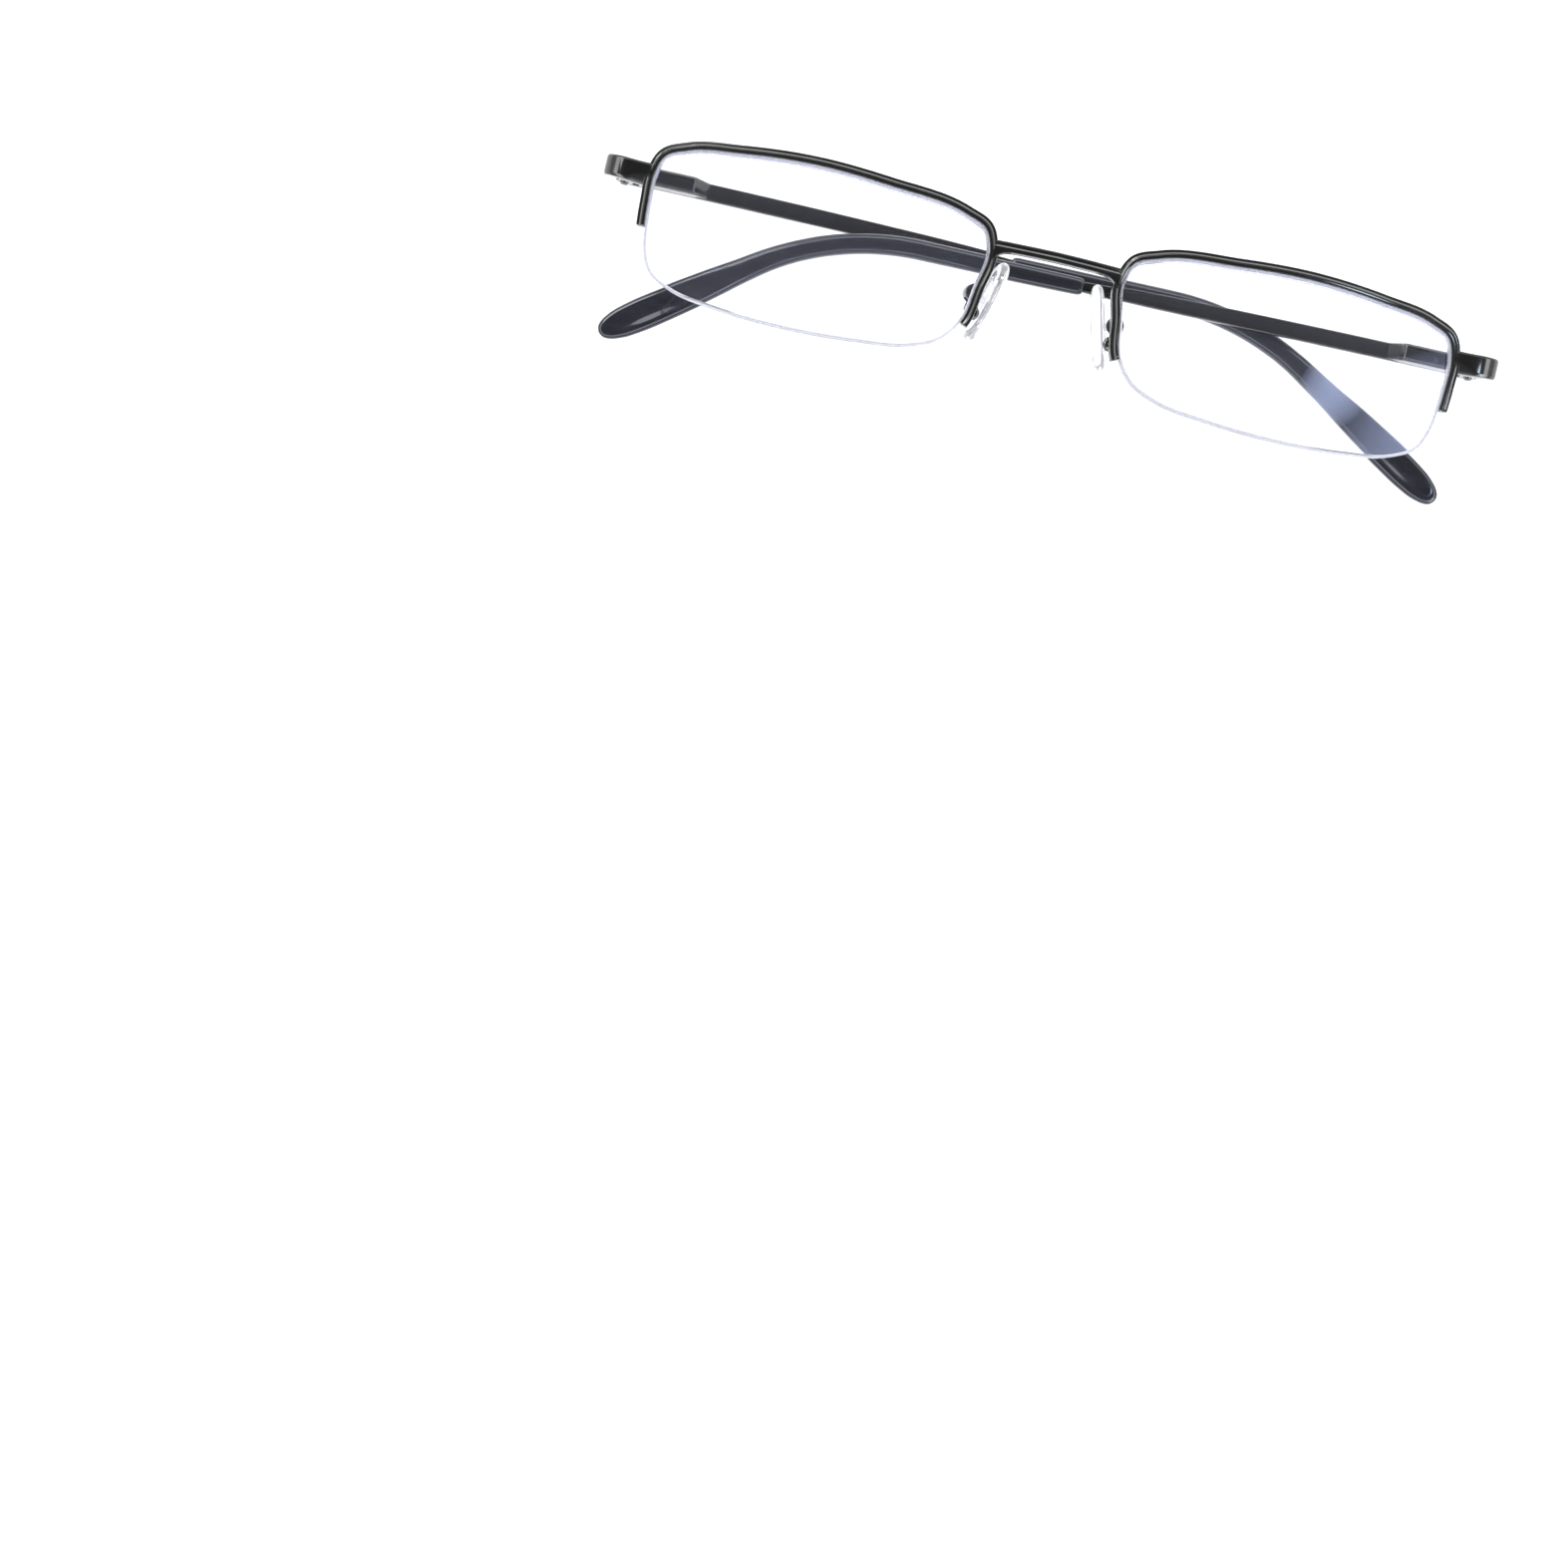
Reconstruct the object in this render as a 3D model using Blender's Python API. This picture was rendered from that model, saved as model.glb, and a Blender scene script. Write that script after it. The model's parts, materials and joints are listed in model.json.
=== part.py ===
"""Half-rim reading glasses with spring hinges, lying face up on their folded temples.

+X is the wearer's left, +Y is up on the face and +Z points out of the lenses' fronts.
The origin is on the resting plane, under the middle of the glasses. Left-side pieces are
modelled and the right side is their mirror image. Sizes are in millimetres and are
turned into metres when a mesh or an empty is made.
"""
from math import cos, pi, radians, sin, sqrt

import bmesh
import bpy
from mathutils import Matrix, Vector

MM = 0.001
COLLECTION = "reading_glasses"
SIDES = {"left": 1, "right": -1}

# Where the bridge's plane and the lenses' middle are above the origin.
FRONT_Z = 16.74
LENS_Y = 2.233

# Lens: 50 mm wide, 24 mm high, edged from a round meniscus blank.
LENS_X = 34.9
LENS_Z = 0.5
WRAP = radians(4.0)
FRONT_RADIUS = 140.0
BACK_RADIUS = 300.0
LENS_MIDDLE = 2.9
GROOVE_BACK = 0.85
GROOVE_DEPTH = 0.42
GROOVE_HALF = 0.32
GROOVE_FLOOR_HALF = 0.26
OUTLINE_STEPS = 3

# The lens's outline about its middle. The metal rim covers the first stretch, from above
# the nose pad over the top to below the endpiece, and the nylon cord the second.
RIM_OUTLINE = (
    (-23.0, -5.4), (-24.1, 0.0), (-24.85, 5.6), (-23.7, 8.5), (-20.6, 9.85), (-9.0, 11.3),
    (2.0, 11.9), (13.0, 11.3), (20.6, 10.3), (23.7, 8.9), (24.75, 5.8), (24.7, 2.2),
    (24.45, -1.5),
)
CORD_OUTLINE = (
    (23.9, -5.0), (22.4, -8.0), (19.0, -9.9), (12.0, -11.25), (2.0, -11.9), (-9.0, -11.45),
    (-16.4, -10.4), (-20.6, -8.5),
)

# Half rim: a grooved wire with a nylon strip in its channel.
RIM_GAP = 0.07
RIM_HEIGHT = 1.25
RIM_HALF_DEPTH = 0.9
RIM_EDGE = 0.25
CHANNEL_DEPTH = 0.48
CHANNEL_HALF = 0.26
LINER_HALF = 0.18
LINER_INNER = -0.34
LINER_OUTER = 0.4
CORD_RADIUS = 0.21
CORD_OFFSET = -0.16
CORD_TUCK = 0.7

# Bridge.
BRIDGE_TOP = 7.2
BRIDGE_DEPTH = 1.6
BRIDGE_END = 8.5

# Hinge axis, which runs along Y, and the endpiece that carries it.
HINGE_X = 63.9
HINGE_Y = 6.8
HINGE_Z = -11.2
EAR_RADIUS = 1.3
HINGE_HALF_HEIGHT = 1.5
SLOT_HALF = 0.74
SCREW_RADIUS = 0.6
SCREW_HOLE_RADIUS = 0.68
LUG_INNER_X = 64.9

# Spring unit inside each temple's housing. Distances run from the hinge axis to the tip.
EYE_RADIUS = 1.25
EYE_HALF_HEIGHT = 0.66
NECK_RADIUS = 0.6
ROD_RADIUS = 0.5
NECK_END = 2.7
FLANGE_START = 8.6
FLANGE_END = 9.3
FLANGE_RADIUS = 0.8
SPRING_RADIUS = 0.72
SPRING_WIRE = 0.12
SPRING_TURNS = 7
HOUSING_START = 2.0
HOUSING_STEP = 10.6
HOUSING_END = 12.8
HOUSING_HALF_HEIGHT = 1.25
HOUSING_TOP = 1.25
HOUSING_BORE = 0.95
HOUSING_WALL = 1.0

# Temple: its middle line, the bend over the ear and the plastic tip.
BAR_OFFSET = -2.4
BAR_HALF_THICKNESS = 0.575
BUTT = -0.9
SLEEVE_START = 58.5
BEND_START = 83.5
BEND_RADIUS = 40.0
BEND_ANGLE = {"left": radians(35.0), "right": radians(31.0)}
CORE_END = 126.0
CORE_CLEARANCE = 0.1

# Each folded temple leans, so that the left one passes over the right one, and the two
# don't lie quite parallel to the front.
LEAN = {"left": radians(1.05), "right": radians(0.95)}
RISE = {"left": radians(1.0), "right": radians(0.15)}

# Nose pad, seen along its own axes: X away from the nose, Y up and Z to the front.
PAD_PLACE = (8.35, -0.7, -6.3)
PAD_TILT = radians(14.0)
PAD_SPLAY = radians(-12.0)
PAD_LENGTH = 12.6
PAD_WIDTH = 6.6
PAD_THICKNESS = 1.9
PIVOT_OFFSET = 2.6
PAD_SCREW_RADIUS = 0.4
PAD_HOLE_RADIUS = 0.47
BOX_RADIUS = 1.35
BOX_HALF_LENGTH = 1.2
BOX_SLOT_HALF = 0.72
ARM_RADIUS = 0.4
ARM_ROUTE = (
    (10.6, -3.9, -1.85), (10.55, -3.92, -2.25), (10.1, -4.0, -2.55), (9.6, -3.35, -2.75),
    (10.0, -2.5, -3.0), (10.8, -2.3, -3.7), (11.3, -2.6, -4.6), (11.35, -2.4, -5.4),
    (11.17, -1.6, -5.76),
)

MATERIALS = {
    "black_metal": ((0.014, 0.014, 0.015), 0.22, 0.85),
    "steel": ((0.42, 0.42, 0.43), 0.3, 1.0),
    "black_plastic": ((0.012, 0.012, 0.014), 0.16, 0.0),
    "lens_clear": ((0.93, 0.94, 0.97), 0.04, 0.0),
    "nylon": ((0.88, 0.89, 0.9), 0.35, 0.0),
    "silicone": ((0.9, 0.91, 0.92), 0.3, 0.0),
}


# ---------------------------------------------------------------- scene helpers

def clear_scene():
    """Start from no objects."""
    for obj in list(bpy.data.objects):
        bpy.data.objects.remove(obj, do_unlink=True)


def collection(name):
    """The collection of this name, made if it isn't there."""
    found = bpy.data.collections.get(name) or bpy.data.collections.new(name)
    if name not in bpy.context.scene.collection.children:
        bpy.context.scene.collection.children.link(found)
    return found


def material(name):
    """A Principled material with the colour, roughness and metallic value listed for it."""
    found = bpy.data.materials.get(name)
    if found:
        return found
    colour, roughness, metallic = MATERIALS[name]
    found = bpy.data.materials.new(name)
    found.use_nodes = True
    shader = found.node_tree.nodes["Principled BSDF"]
    shader.inputs["Base Color"].default_value = (*colour, 1.0)
    shader.inputs["Roughness"].default_value = roughness
    shader.inputs["Metallic"].default_value = metallic
    found.diffuse_color = (*colour, 1.0)
    return found


def empty(name, place, rotation, parent=None):
    """An empty at a place in millimetres, that pieces hang on."""
    obj = bpy.data.objects.new(name, None)
    collection(COLLECTION).objects.link(obj)
    obj.matrix_world = Matrix.Translation(Vector(place) * MM) @ rotation
    obj.parent = parent
    return obj


def turn(angle, axis):
    """A rotation matrix about one axis."""
    return Matrix.Rotation(angle, 4, axis)


def add_object(mesh, name, parent, side, slot, cutter=False):
    """Link a mesh made for the left side, mirrored when it is for the right one."""
    if side < 0:
        mesh.transform(Matrix.Scale(-1.0, 4, (1.0, 0.0, 0.0)))
        mesh.flip_normals()
    obj = bpy.data.objects.new(name, mesh)
    obj.parent = parent
    if cutter:
        collection(COLLECTION + "_cutters").objects.link(obj)
        obj.hide_render = True
        obj.display_type = "WIRE"
        return obj
    collection(COLLECTION).objects.link(obj)
    mesh.materials.append(material(slot))
    return obj


def mesh_from(bm, name, smooth_angle=35.0):
    """Turn a bmesh in millimetres into a mesh in metres with outward normals."""
    bmesh.ops.recalc_face_normals(bm, faces=bm.faces)
    bm.transform(Matrix.Scale(MM, 4))
    mesh = bpy.data.meshes.new(name)
    bm.to_mesh(mesh)
    bm.free()
    mesh.shade_smooth()
    mesh.set_sharp_from_angle(angle=radians(smooth_angle))
    return mesh


def loft(name, rings, middles=(None, None)):
    """Skin a list of rings of equal length and close both ends, with a middle point if given."""
    bm = bmesh.new()
    rows = [[bm.verts.new(point) for point in ring] for ring in rings]
    count = len(rows[0])
    for row, following in zip(rows, rows[1:]):
        for i in range(count):
            j = (i + 1) % count
            bm.faces.new((row[i], row[j], following[j], following[i]))
    for row, middle in ((rows[0], middles[0]), (rows[-1], middles[1])):
        if middle is None:
            bm.faces.new(row)
            continue
        centre = bm.verts.new(middle)
        for i in range(count):
            bm.faces.new((row[i], row[(i + 1) % count], centre))
    return mesh_from(bm, name)


def box_mesh(name, low, high, bevel=0.0):
    """A box between two corners, with its edges rounded off."""
    bm = bmesh.new()
    bmesh.ops.create_cube(bm, size=1.0)
    size = [b - a for a, b in zip(low, high)]
    middle = [(a + b) / 2.0 for a, b in zip(low, high)]
    bmesh.ops.scale(bm, vec=size, verts=bm.verts)
    bmesh.ops.translate(bm, vec=middle, verts=bm.verts)
    if bevel:
        bmesh.ops.bevel(bm, geom=bm.edges[:], offset=bevel, segments=1, affect="EDGES")
    return mesh_from(bm, name)


def cylinder_mesh(name, radius, half_length, middle, axis, segments=24):
    """A capped cylinder about one of the axes."""
    bm = bmesh.new()
    bmesh.ops.create_cone(
        bm, cap_ends=True, segments=segments, radius1=radius, radius2=radius,
        depth=2.0 * half_length,
    )
    if axis == "X":
        bmesh.ops.rotate(bm, matrix=Matrix.Rotation(pi / 2, 3, "Y"), verts=bm.verts)
    if axis == "Y":
        bmesh.ops.rotate(bm, matrix=Matrix.Rotation(pi / 2, 3, "X"), verts=bm.verts)
    bmesh.ops.translate(bm, vec=middle, verts=bm.verts)
    return mesh_from(bm, name)


def turned_mesh(name, profile, middle, axis, segments=16):
    """A turned shape: (radius, height) points spun about Z, then laid along an axis."""
    bm = bmesh.new()
    points = [bm.verts.new((radius, 0.0, height)) for radius, height in profile]
    edges = [bm.edges.new(pair) for pair in zip(points, points[1:])]
    bmesh.ops.spin(
        bm, geom=points + edges, axis=(0, 0, 1), cent=(0, 0, 0), angle=2 * pi,
        steps=segments, use_merge=True,
    )
    bmesh.ops.remove_doubles(bm, verts=bm.verts, dist=0.001)
    if axis == "X":
        bmesh.ops.rotate(bm, matrix=Matrix.Rotation(-pi / 2, 3, "Y"), verts=bm.verts)
    if axis == "Y":
        bmesh.ops.rotate(bm, matrix=Matrix.Rotation(-pi / 2, 3, "X"), verts=bm.verts)
    bmesh.ops.translate(bm, vec=middle, verts=bm.verts)
    return mesh_from(bm, name)


def tube_object(name, points, radius, parent, side, slot):
    """A round wire through the points, as a curve with filled caps."""
    curve = bpy.data.curves.new(name, "CURVE")
    curve.dimensions = "3D"
    curve.bevel_depth = radius * MM
    curve.bevel_resolution = 1
    curve.use_fill_caps = True
    spline = curve.splines.new("POLY")
    spline.points.add(len(points) - 1)
    for point, (x, y, z) in zip(spline.points, points):
        point.co = (side * x * MM, y * MM, z * MM, 1.0)
    obj = bpy.data.objects.new(name, curve)
    obj.parent = parent
    collection(COLLECTION).objects.link(obj)
    curve.materials.append(material(slot))
    return obj


def combine(obj, other, operation):
    """Add an exact Boolean modifier that unites with, or cuts with, another object."""
    modifier = obj.modifiers.new(other.name, "BOOLEAN")
    modifier.operation = operation
    modifier.solver = "EXACT"
    modifier.object = other


def heading(before, here, after):
    """Direction of a smooth line at a point, weighted towards its nearer neighbour."""
    back, ahead = (here - before).length, (after - here).length
    if back == 0.0 or ahead == 0.0:
        return (after - before).normalized()
    return ((here - before) / back * ahead + (after - here) / ahead * back) / (back + ahead)


def smooth_line(points, steps, closed=False):
    """Points along a smooth curve that passes through every given point."""
    count = len(points)
    line = []
    for i in range(count if closed else count - 1):
        if closed:
            four = [Vector(points[(i + k) % count]) for k in (-1, 0, 1, 2)]
        else:
            four = [Vector(points[min(max(i + k, 0), count - 1)]) for k in (-1, 0, 1, 2)]
        before, start, end, after = four
        span = (end - start).length
        leaving = heading(before, start, end) * span
        arriving = heading(start, end, after) * span
        for step in range(steps):
            t = step / steps
            line.append(
                start * (2 * t ** 3 - 3 * t ** 2 + 1) + leaving * (t ** 3 - 2 * t ** 2 + t)
                + end * (3 * t ** 2 - 2 * t ** 3) + arriving * (t ** 3 - t ** 2)
            )
    if not closed:
        line.append(Vector(points[-1]))
    return line


def even_points(line, count):
    """The same open line with its points spaced evenly."""
    lengths = [0.0]
    for a, b in zip(line, line[1:]):
        lengths.append(lengths[-1] + (b - a).length)
    result = []
    i = 0
    for k in range(count):
        target = lengths[-1] * k / (count - 1)
        while i < len(line) - 2 and lengths[i + 1] < target:
            i += 1
        part = (target - lengths[i]) / (lengths[i + 1] - lengths[i])
        result.append(line[i].lerp(line[i + 1], part))
    return result


# ---------------------------------------------------------------- lens and rim

def sag(radius, u, v):
    """How far a sphere of this radius has fallen back at (u, v) from its middle."""
    return radius - sqrt(radius * radius - u * u - v * v)


def groove_height(point):
    """Height of the edge groove's middle at a point of the lens outline."""
    return -sag(FRONT_RADIUS, point.x, point.y) - GROOVE_BACK


def outward(line):
    """Outward directions in the lens plane along the closed clockwise outline."""
    result = []
    for i in range(len(line)):
        along = line[(i + 1) % len(line)] - line[i - 1]
        result.append(Vector((-along.y, along.x)).normalized())
    return result


def lens_outline():
    """The lens's closed outline, clockwise from the rim's end at the nose."""
    return smooth_line(RIM_OUTLINE + CORD_OUTLINE, OUTLINE_STEPS, closed=True)


def sweep_rings(edge, profile):
    """Carry a profile of (outward, forward) points along (point, outward) pairs."""
    rings = []
    for point, out in edge:
        height = groove_height(point)
        rings.append([
            (point.x + out.x * n, point.y + out.y * n, height + w) for n, w in profile
        ])
    return rings


def make_lens(side_name, side, plane):
    """Meniscus lens with a groove around its edge."""
    line = lens_outline()
    out = outward(line)

    def surface(scale, radius, middle):
        """A ring of one face, drawn in towards the lens's middle."""
        ring = []
        for p in line:
            u, v = p.x * scale, p.y * scale
            ring.append((u, v, middle - sag(radius, u, v)))
        return ring

    def edge(inset, offset):
        """A ring of the edge, set in from the outline and off the groove's middle."""
        return [
            (p.x - n.x * inset, p.y - n.y * inset, groove_height(p) + offset)
            for p, n in zip(line, out)
        ]

    scales = (0.4, 0.75, 1.0)
    rings = [surface(scale, FRONT_RADIUS, 0.0) for scale in scales]
    rings.append(edge(0.0, GROOVE_HALF))
    rings.append(edge(GROOVE_DEPTH, GROOVE_FLOOR_HALF))
    rings.append(edge(GROOVE_DEPTH, -GROOVE_FLOOR_HALF))
    rings.append(edge(0.0, -GROOVE_HALF))
    rings += [surface(scale, BACK_RADIUS, -LENS_MIDDLE) for scale in reversed(scales)]
    mesh = loft(side_name + "_lens", rings, ((0, 0, 0), (0, 0, -LENS_MIDDLE)))
    add_object(mesh, side_name + "_lens", plane, side, "lens_clear")


def make_rim(side_name, side, plane):
    """Half rim, the strip that lines it and the nylon cord that holds the lens from below."""
    line = lens_outline()
    edge = list(zip(line, outward(line)))
    last = OUTLINE_STEPS * (len(RIM_OUTLINE) - 1)
    over, under = edge[:last + 1], edge[last + 1:]
    inner, outer = RIM_GAP, RIM_HEIGHT
    half, cut, channel = RIM_HALF_DEPTH, RIM_EDGE, CHANNEL_HALF
    profile = (
        (inner, -half), (outer - cut, -half), (outer, cut - half), (outer, half - cut),
        (outer - cut, half), (inner, half), (inner, channel), (CHANNEL_DEPTH, channel),
        (CHANNEL_DEPTH, -channel), (inner, -channel),
    )
    name = side_name + "_rim"
    add_object(loft(name, sweep_rings(over, profile)), name, plane, side, "black_metal")

    strip = (
        (LINER_INNER, -LINER_HALF), (LINER_OUTER, -LINER_HALF),
        (LINER_OUTER, LINER_HALF), (LINER_INNER, LINER_HALF),
    )
    name = side_name + "_rim_liner"
    add_object(loft(name, sweep_rings(over[1:-2], strip)), name, plane, side, "nylon")

    tucked = (over[0][0].lerp(over[1][0], CORD_TUCK), over[0][1])
    route = [over[-2], over[-1]] + under + [over[0], tucked]
    points = [ring[0] for ring in sweep_rings(route, ((CORD_OFFSET, 0.0),))]
    tube_object(side_name + "_nylon_cord", points, CORD_RADIUS, plane, side, "nylon")


def chamfered(height, thickness, edge):
    """Eight corners of a rectangle with its corners cut off, as (height, thickness) pairs."""
    a, b = height / 2.0, thickness / 2.0
    return (
        (-a + edge, -b), (a - edge, -b), (a, -b + edge), (a, b - edge),
        (a - edge, b), (-a + edge, b), (-a, b - edge), (-a, -b + edge),
    )


def make_bridge(front):
    """Bridge bar that bows forward and deepens where it meets the rims."""
    rings = []
    stations = (0.0, 2.5, 5.0, 6.8, 7.8, BRIDGE_END)
    for x in [-x for x in reversed(stations[1:])] + list(stations):
        part = abs(x) / BRIDGE_END
        height = 1.3 + 1.9 * part ** 9
        middle_z = -0.2 - 0.6 * part * part
        middle_y = BRIDGE_TOP - 0.1 * part - height / 2.0
        section = chamfered(height, BRIDGE_DEPTH, 0.3)
        rings.append([(x, middle_y + a, middle_z + b) for a, b in section])
    add_object(loft("bridge", rings), "bridge", front, 1, "black_metal")


# ---------------------------------------------------------------- endpiece and hinge

def make_endpiece(side_name, side, front):
    """Solid lug that leaves the rim and curves back to carry the hinge."""
    stations = (
        # x, z, heading in degrees, height, thickness, middle height
        (60.8, -4.35, 0.0, 3.2, 1.9, 5.85),
        (62.9, -4.6, -12.0, 3.15, 2.0, 5.95),
        (64.5, -5.3, -38.0, 3.1, 2.1, 6.15),
        (65.6, -6.6, -68.0, 3.05, 2.1, 6.4),
        (65.95, -8.2, -88.0, 3.0, 2.1, 6.6),
        (65.95, -10.15, -90.0, 2.9, 2.1, 6.75),
    )
    rings = []
    for x, z, heading, height, thickness, middle in stations:
        across = Vector((-sin(radians(heading)), 0.0, cos(radians(heading))))
        rings.append([
            (x + across.x * b, middle + a, z + across.z * b)
            for a, b in chamfered(height, thickness, 0.4)
        ])
    name = side_name + "_endpiece"
    add_object(loft(name, rings), name, front, side, "black_metal")


def make_front_hinge(side_name, side, front):
    """Block with two ears that the temple's eye turns between."""
    axis = (HINGE_X, HINGE_Y, HINGE_Z)
    name = side_name + "_front_hinge"
    low = (HINGE_X - 1.15, HINGE_Y - HINGE_HALF_HEIGHT, HINGE_Z + 0.5)
    high = (LUG_INNER_X - 0.1, HINGE_Y + HINGE_HALF_HEIGHT, HINGE_Z + 3.0)
    leaf = add_object(box_mesh(name, low, high, 0.2), name, front, side, "steel")
    ears = cylinder_mesh(name + "_ears", EAR_RADIUS, HINGE_HALF_HEIGHT - 0.08, axis, "Y")
    slot = box_mesh(
        name + "_slot",
        (HINGE_X - 1.6, HINGE_Y - SLOT_HALF, HINGE_Z - 1.6),
        (HINGE_X + 1.6, HINGE_Y + SLOT_HALF, HINGE_Z + 1.48),
    )
    hole = cylinder_mesh(name + "_hole", SCREW_HOLE_RADIUS, 3.0, axis, "Y", 16)
    for mesh, operation in ((ears, "UNION"), (slot, "DIFFERENCE"), (hole, "DIFFERENCE")):
        cutter = add_object(mesh, mesh.name, front, side, None, cutter=True)
        combine(leaf, cutter, operation)


def make_hinge_screw(side_name, side, front):
    """Slotted screw that the temple turns on, put in from above."""
    name = side_name + "_hinge_screw"
    top = HINGE_HALF_HEIGHT + 0.06
    profile = (
        (0.0, top + 0.5), (0.75, top + 0.5), (1.0, top + 0.3), (1.0, top),
        (SCREW_RADIUS, top), (SCREW_RADIUS, -1.7), (0.45, -1.85), (0.0, -1.85),
    )
    mesh = turned_mesh(name, profile, (HINGE_X, HINGE_Y, HINGE_Z), "Y")
    screw = add_object(mesh, name, front, side, "steel")
    height = HINGE_Y + top + 0.25
    slot = box_mesh(
        name + "_slot", (HINGE_X - 1.2, height, HINGE_Z - 0.14),
        (HINGE_X + 1.2, height + 1.0, HINGE_Z + 0.14),
    )
    combine(screw, add_object(slot, slot.name, front, side, None, cutter=True), "DIFFERENCE")


def make_piston(side_name, side, axis):
    """Eye on the hinge screw with the rod that the spring pulls on."""
    name = side_name + "_hinge_piston"
    eye = cylinder_mesh(name, EYE_RADIUS, EYE_HALF_HEIGHT, (0, 0, 0), "Y", 24)
    piston = add_object(eye, name, axis, side, "steel")
    profile = (
        (0.0, FLANGE_END), (FLANGE_RADIUS, FLANGE_END), (FLANGE_RADIUS, FLANGE_START),
        (ROD_RADIUS, FLANGE_START), (ROD_RADIUS, NECK_END), (NECK_RADIUS, NECK_END),
        (NECK_RADIUS, 0.8), (0.0, 0.8),
    )
    rod = turned_mesh(name + "_rod", profile, (0, 0, 0), "X", 12)
    hole = cylinder_mesh(name + "_hole", SCREW_HOLE_RADIUS, 2.0, (0, 0, 0), "Y", 16)
    for mesh, operation in ((rod, "UNION"), (hole, "DIFFERENCE")):
        cutter = add_object(mesh, mesh.name, axis, side, None, cutter=True)
        combine(piston, cutter, operation)


def make_spring(side_name, side, axis):
    """Coil spring around the piston's rod."""
    start = HOUSING_START + HOUSING_WALL + SPRING_WIRE + 0.05
    end = FLANGE_START - SPRING_WIRE - 0.05
    steps = SPRING_TURNS * 8
    points = []
    for i in range(steps + 1):
        angle = 2 * pi * i / 8
        along = start + (end - start) * i / steps
        points.append((-along, SPRING_RADIUS * sin(angle), SPRING_RADIUS * cos(angle)))
    tube_object(side_name + "_hinge_spring", points, SPRING_WIRE, axis, side, "steel")


def make_housing(side_name, side, axis):
    """Spring box on the inner side of the temple, bored for the spring and the rod."""
    name = side_name + "_spring_housing"
    bottom = BAR_OFFSET + BAR_HALF_THICKNESS + 0.07
    stations = (
        # distance, half height, top
        (HOUSING_START, HOUSING_HALF_HEIGHT - 0.15, HOUSING_TOP - 0.15),
        (HOUSING_START + 0.2, HOUSING_HALF_HEIGHT, HOUSING_TOP),
        (HOUSING_STEP, HOUSING_HALF_HEIGHT, HOUSING_TOP),
        (HOUSING_STEP + 0.5, HOUSING_HALF_HEIGHT, HOUSING_TOP - 0.5),
        (HOUSING_END, HOUSING_HALF_HEIGHT - 0.1, bottom + 0.45),
    )
    rings = []
    for distance, half, top in stations:
        edge = min(0.3, (top - bottom) / 3.0)
        middle = (top + bottom) / 2.0
        section = chamfered(2 * half, top - bottom, edge)
        rings.append([(-distance, a, middle + b) for a, b in section])
    housing = add_object(loft(name, rings), name, axis, side, "black_metal")
    bore_start = HOUSING_START + HOUSING_WALL
    bore_half = (HOUSING_STEP - 0.3 - bore_start) / 2.0
    bore = cylinder_mesh(
        name + "_bore", HOUSING_BORE, bore_half, (-(bore_start + bore_half), 0, 0), "X", 20,
    )
    mouth = cylinder_mesh(
        name + "_mouth", NECK_RADIUS + 0.09, 1.0, (-HOUSING_START - 0.5, 0, 0), "X", 20,
    )
    for mesh in (bore, mouth):
        cutter = add_object(mesh, mesh.name, axis, side, None, cutter=True)
        combine(housing, cutter, "DIFFERENCE")


# ---------------------------------------------------------------- temple and tip

def temple_place(length, bend):
    """Distance, height and downward slope of the temple's middle line after a length."""
    if length <= BEND_START:
        return length, 0.0, 0.0
    turned = min((length - BEND_START) / BEND_RADIUS, bend)
    along = BEND_START + BEND_RADIUS * sin(turned)
    down = BEND_RADIUS * (1.0 - cos(turned))
    rest = max(length - BEND_START - BEND_RADIUS * bend, 0.0)
    return along + rest * cos(turned), -(down + rest * sin(turned)), turned


def temple_ring(length, section, bend):
    """A section of (height, thickness) points stood across the temple's middle line."""
    along, height, slope = temple_place(length, bend)
    return [
        (-(along + a * sin(slope)), height + a * cos(slope), BAR_OFFSET + b)
        for a, b in section
    ]


def bend_lengths(count, bend):
    """Evenly spaced lengths through the bend, from its start to its end."""
    total = BEND_RADIUS * bend
    return [BEND_START + total * i / count for i in range(count + 1)]


def make_temple(side_name, side, axis):
    """Flat metal bar that thins to a core wire inside the tip."""
    name = side_name + "_temple"
    bend = BEND_ANGLE[side_name]
    thickness = 2 * BAR_HALF_THICKNESS
    stations = [
        (BUTT, 2.2, thickness), (BUTT + 0.3, 2.45, thickness), (16.0, 2.45, thickness),
        (44.0, 2.25, thickness), (53.0, 1.95, 1.1), (SLEEVE_START - 0.2, 1.55, 1.05),
        (SLEEVE_START + 1.0, 1.3, 0.9),
    ]
    stations += [(length, 1.3, 0.9) for length in bend_lengths(6, bend)]
    stations.append((CORE_END, 1.3, 0.9))
    rings = [temple_ring(s, chamfered(h, t, 0.25), bend) for s, h, t in stations]
    add_object(loft(name, rings), name, axis, side, "black_metal")


def oval(height, thickness, count=12):
    """Points of a rounded section as (height, thickness) pairs."""
    points = []
    for i in range(count):
        angle = 2 * pi * (i + 0.5) / count
        c, s = cos(angle), sin(angle)
        a = height / 2.0 * abs(c) ** 0.8 * (1 if c > 0 else -1)
        b = thickness / 2.0 * abs(s) ** 0.8 * (1 if s > 0 else -1)
        points.append((a, b))
    return points


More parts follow.
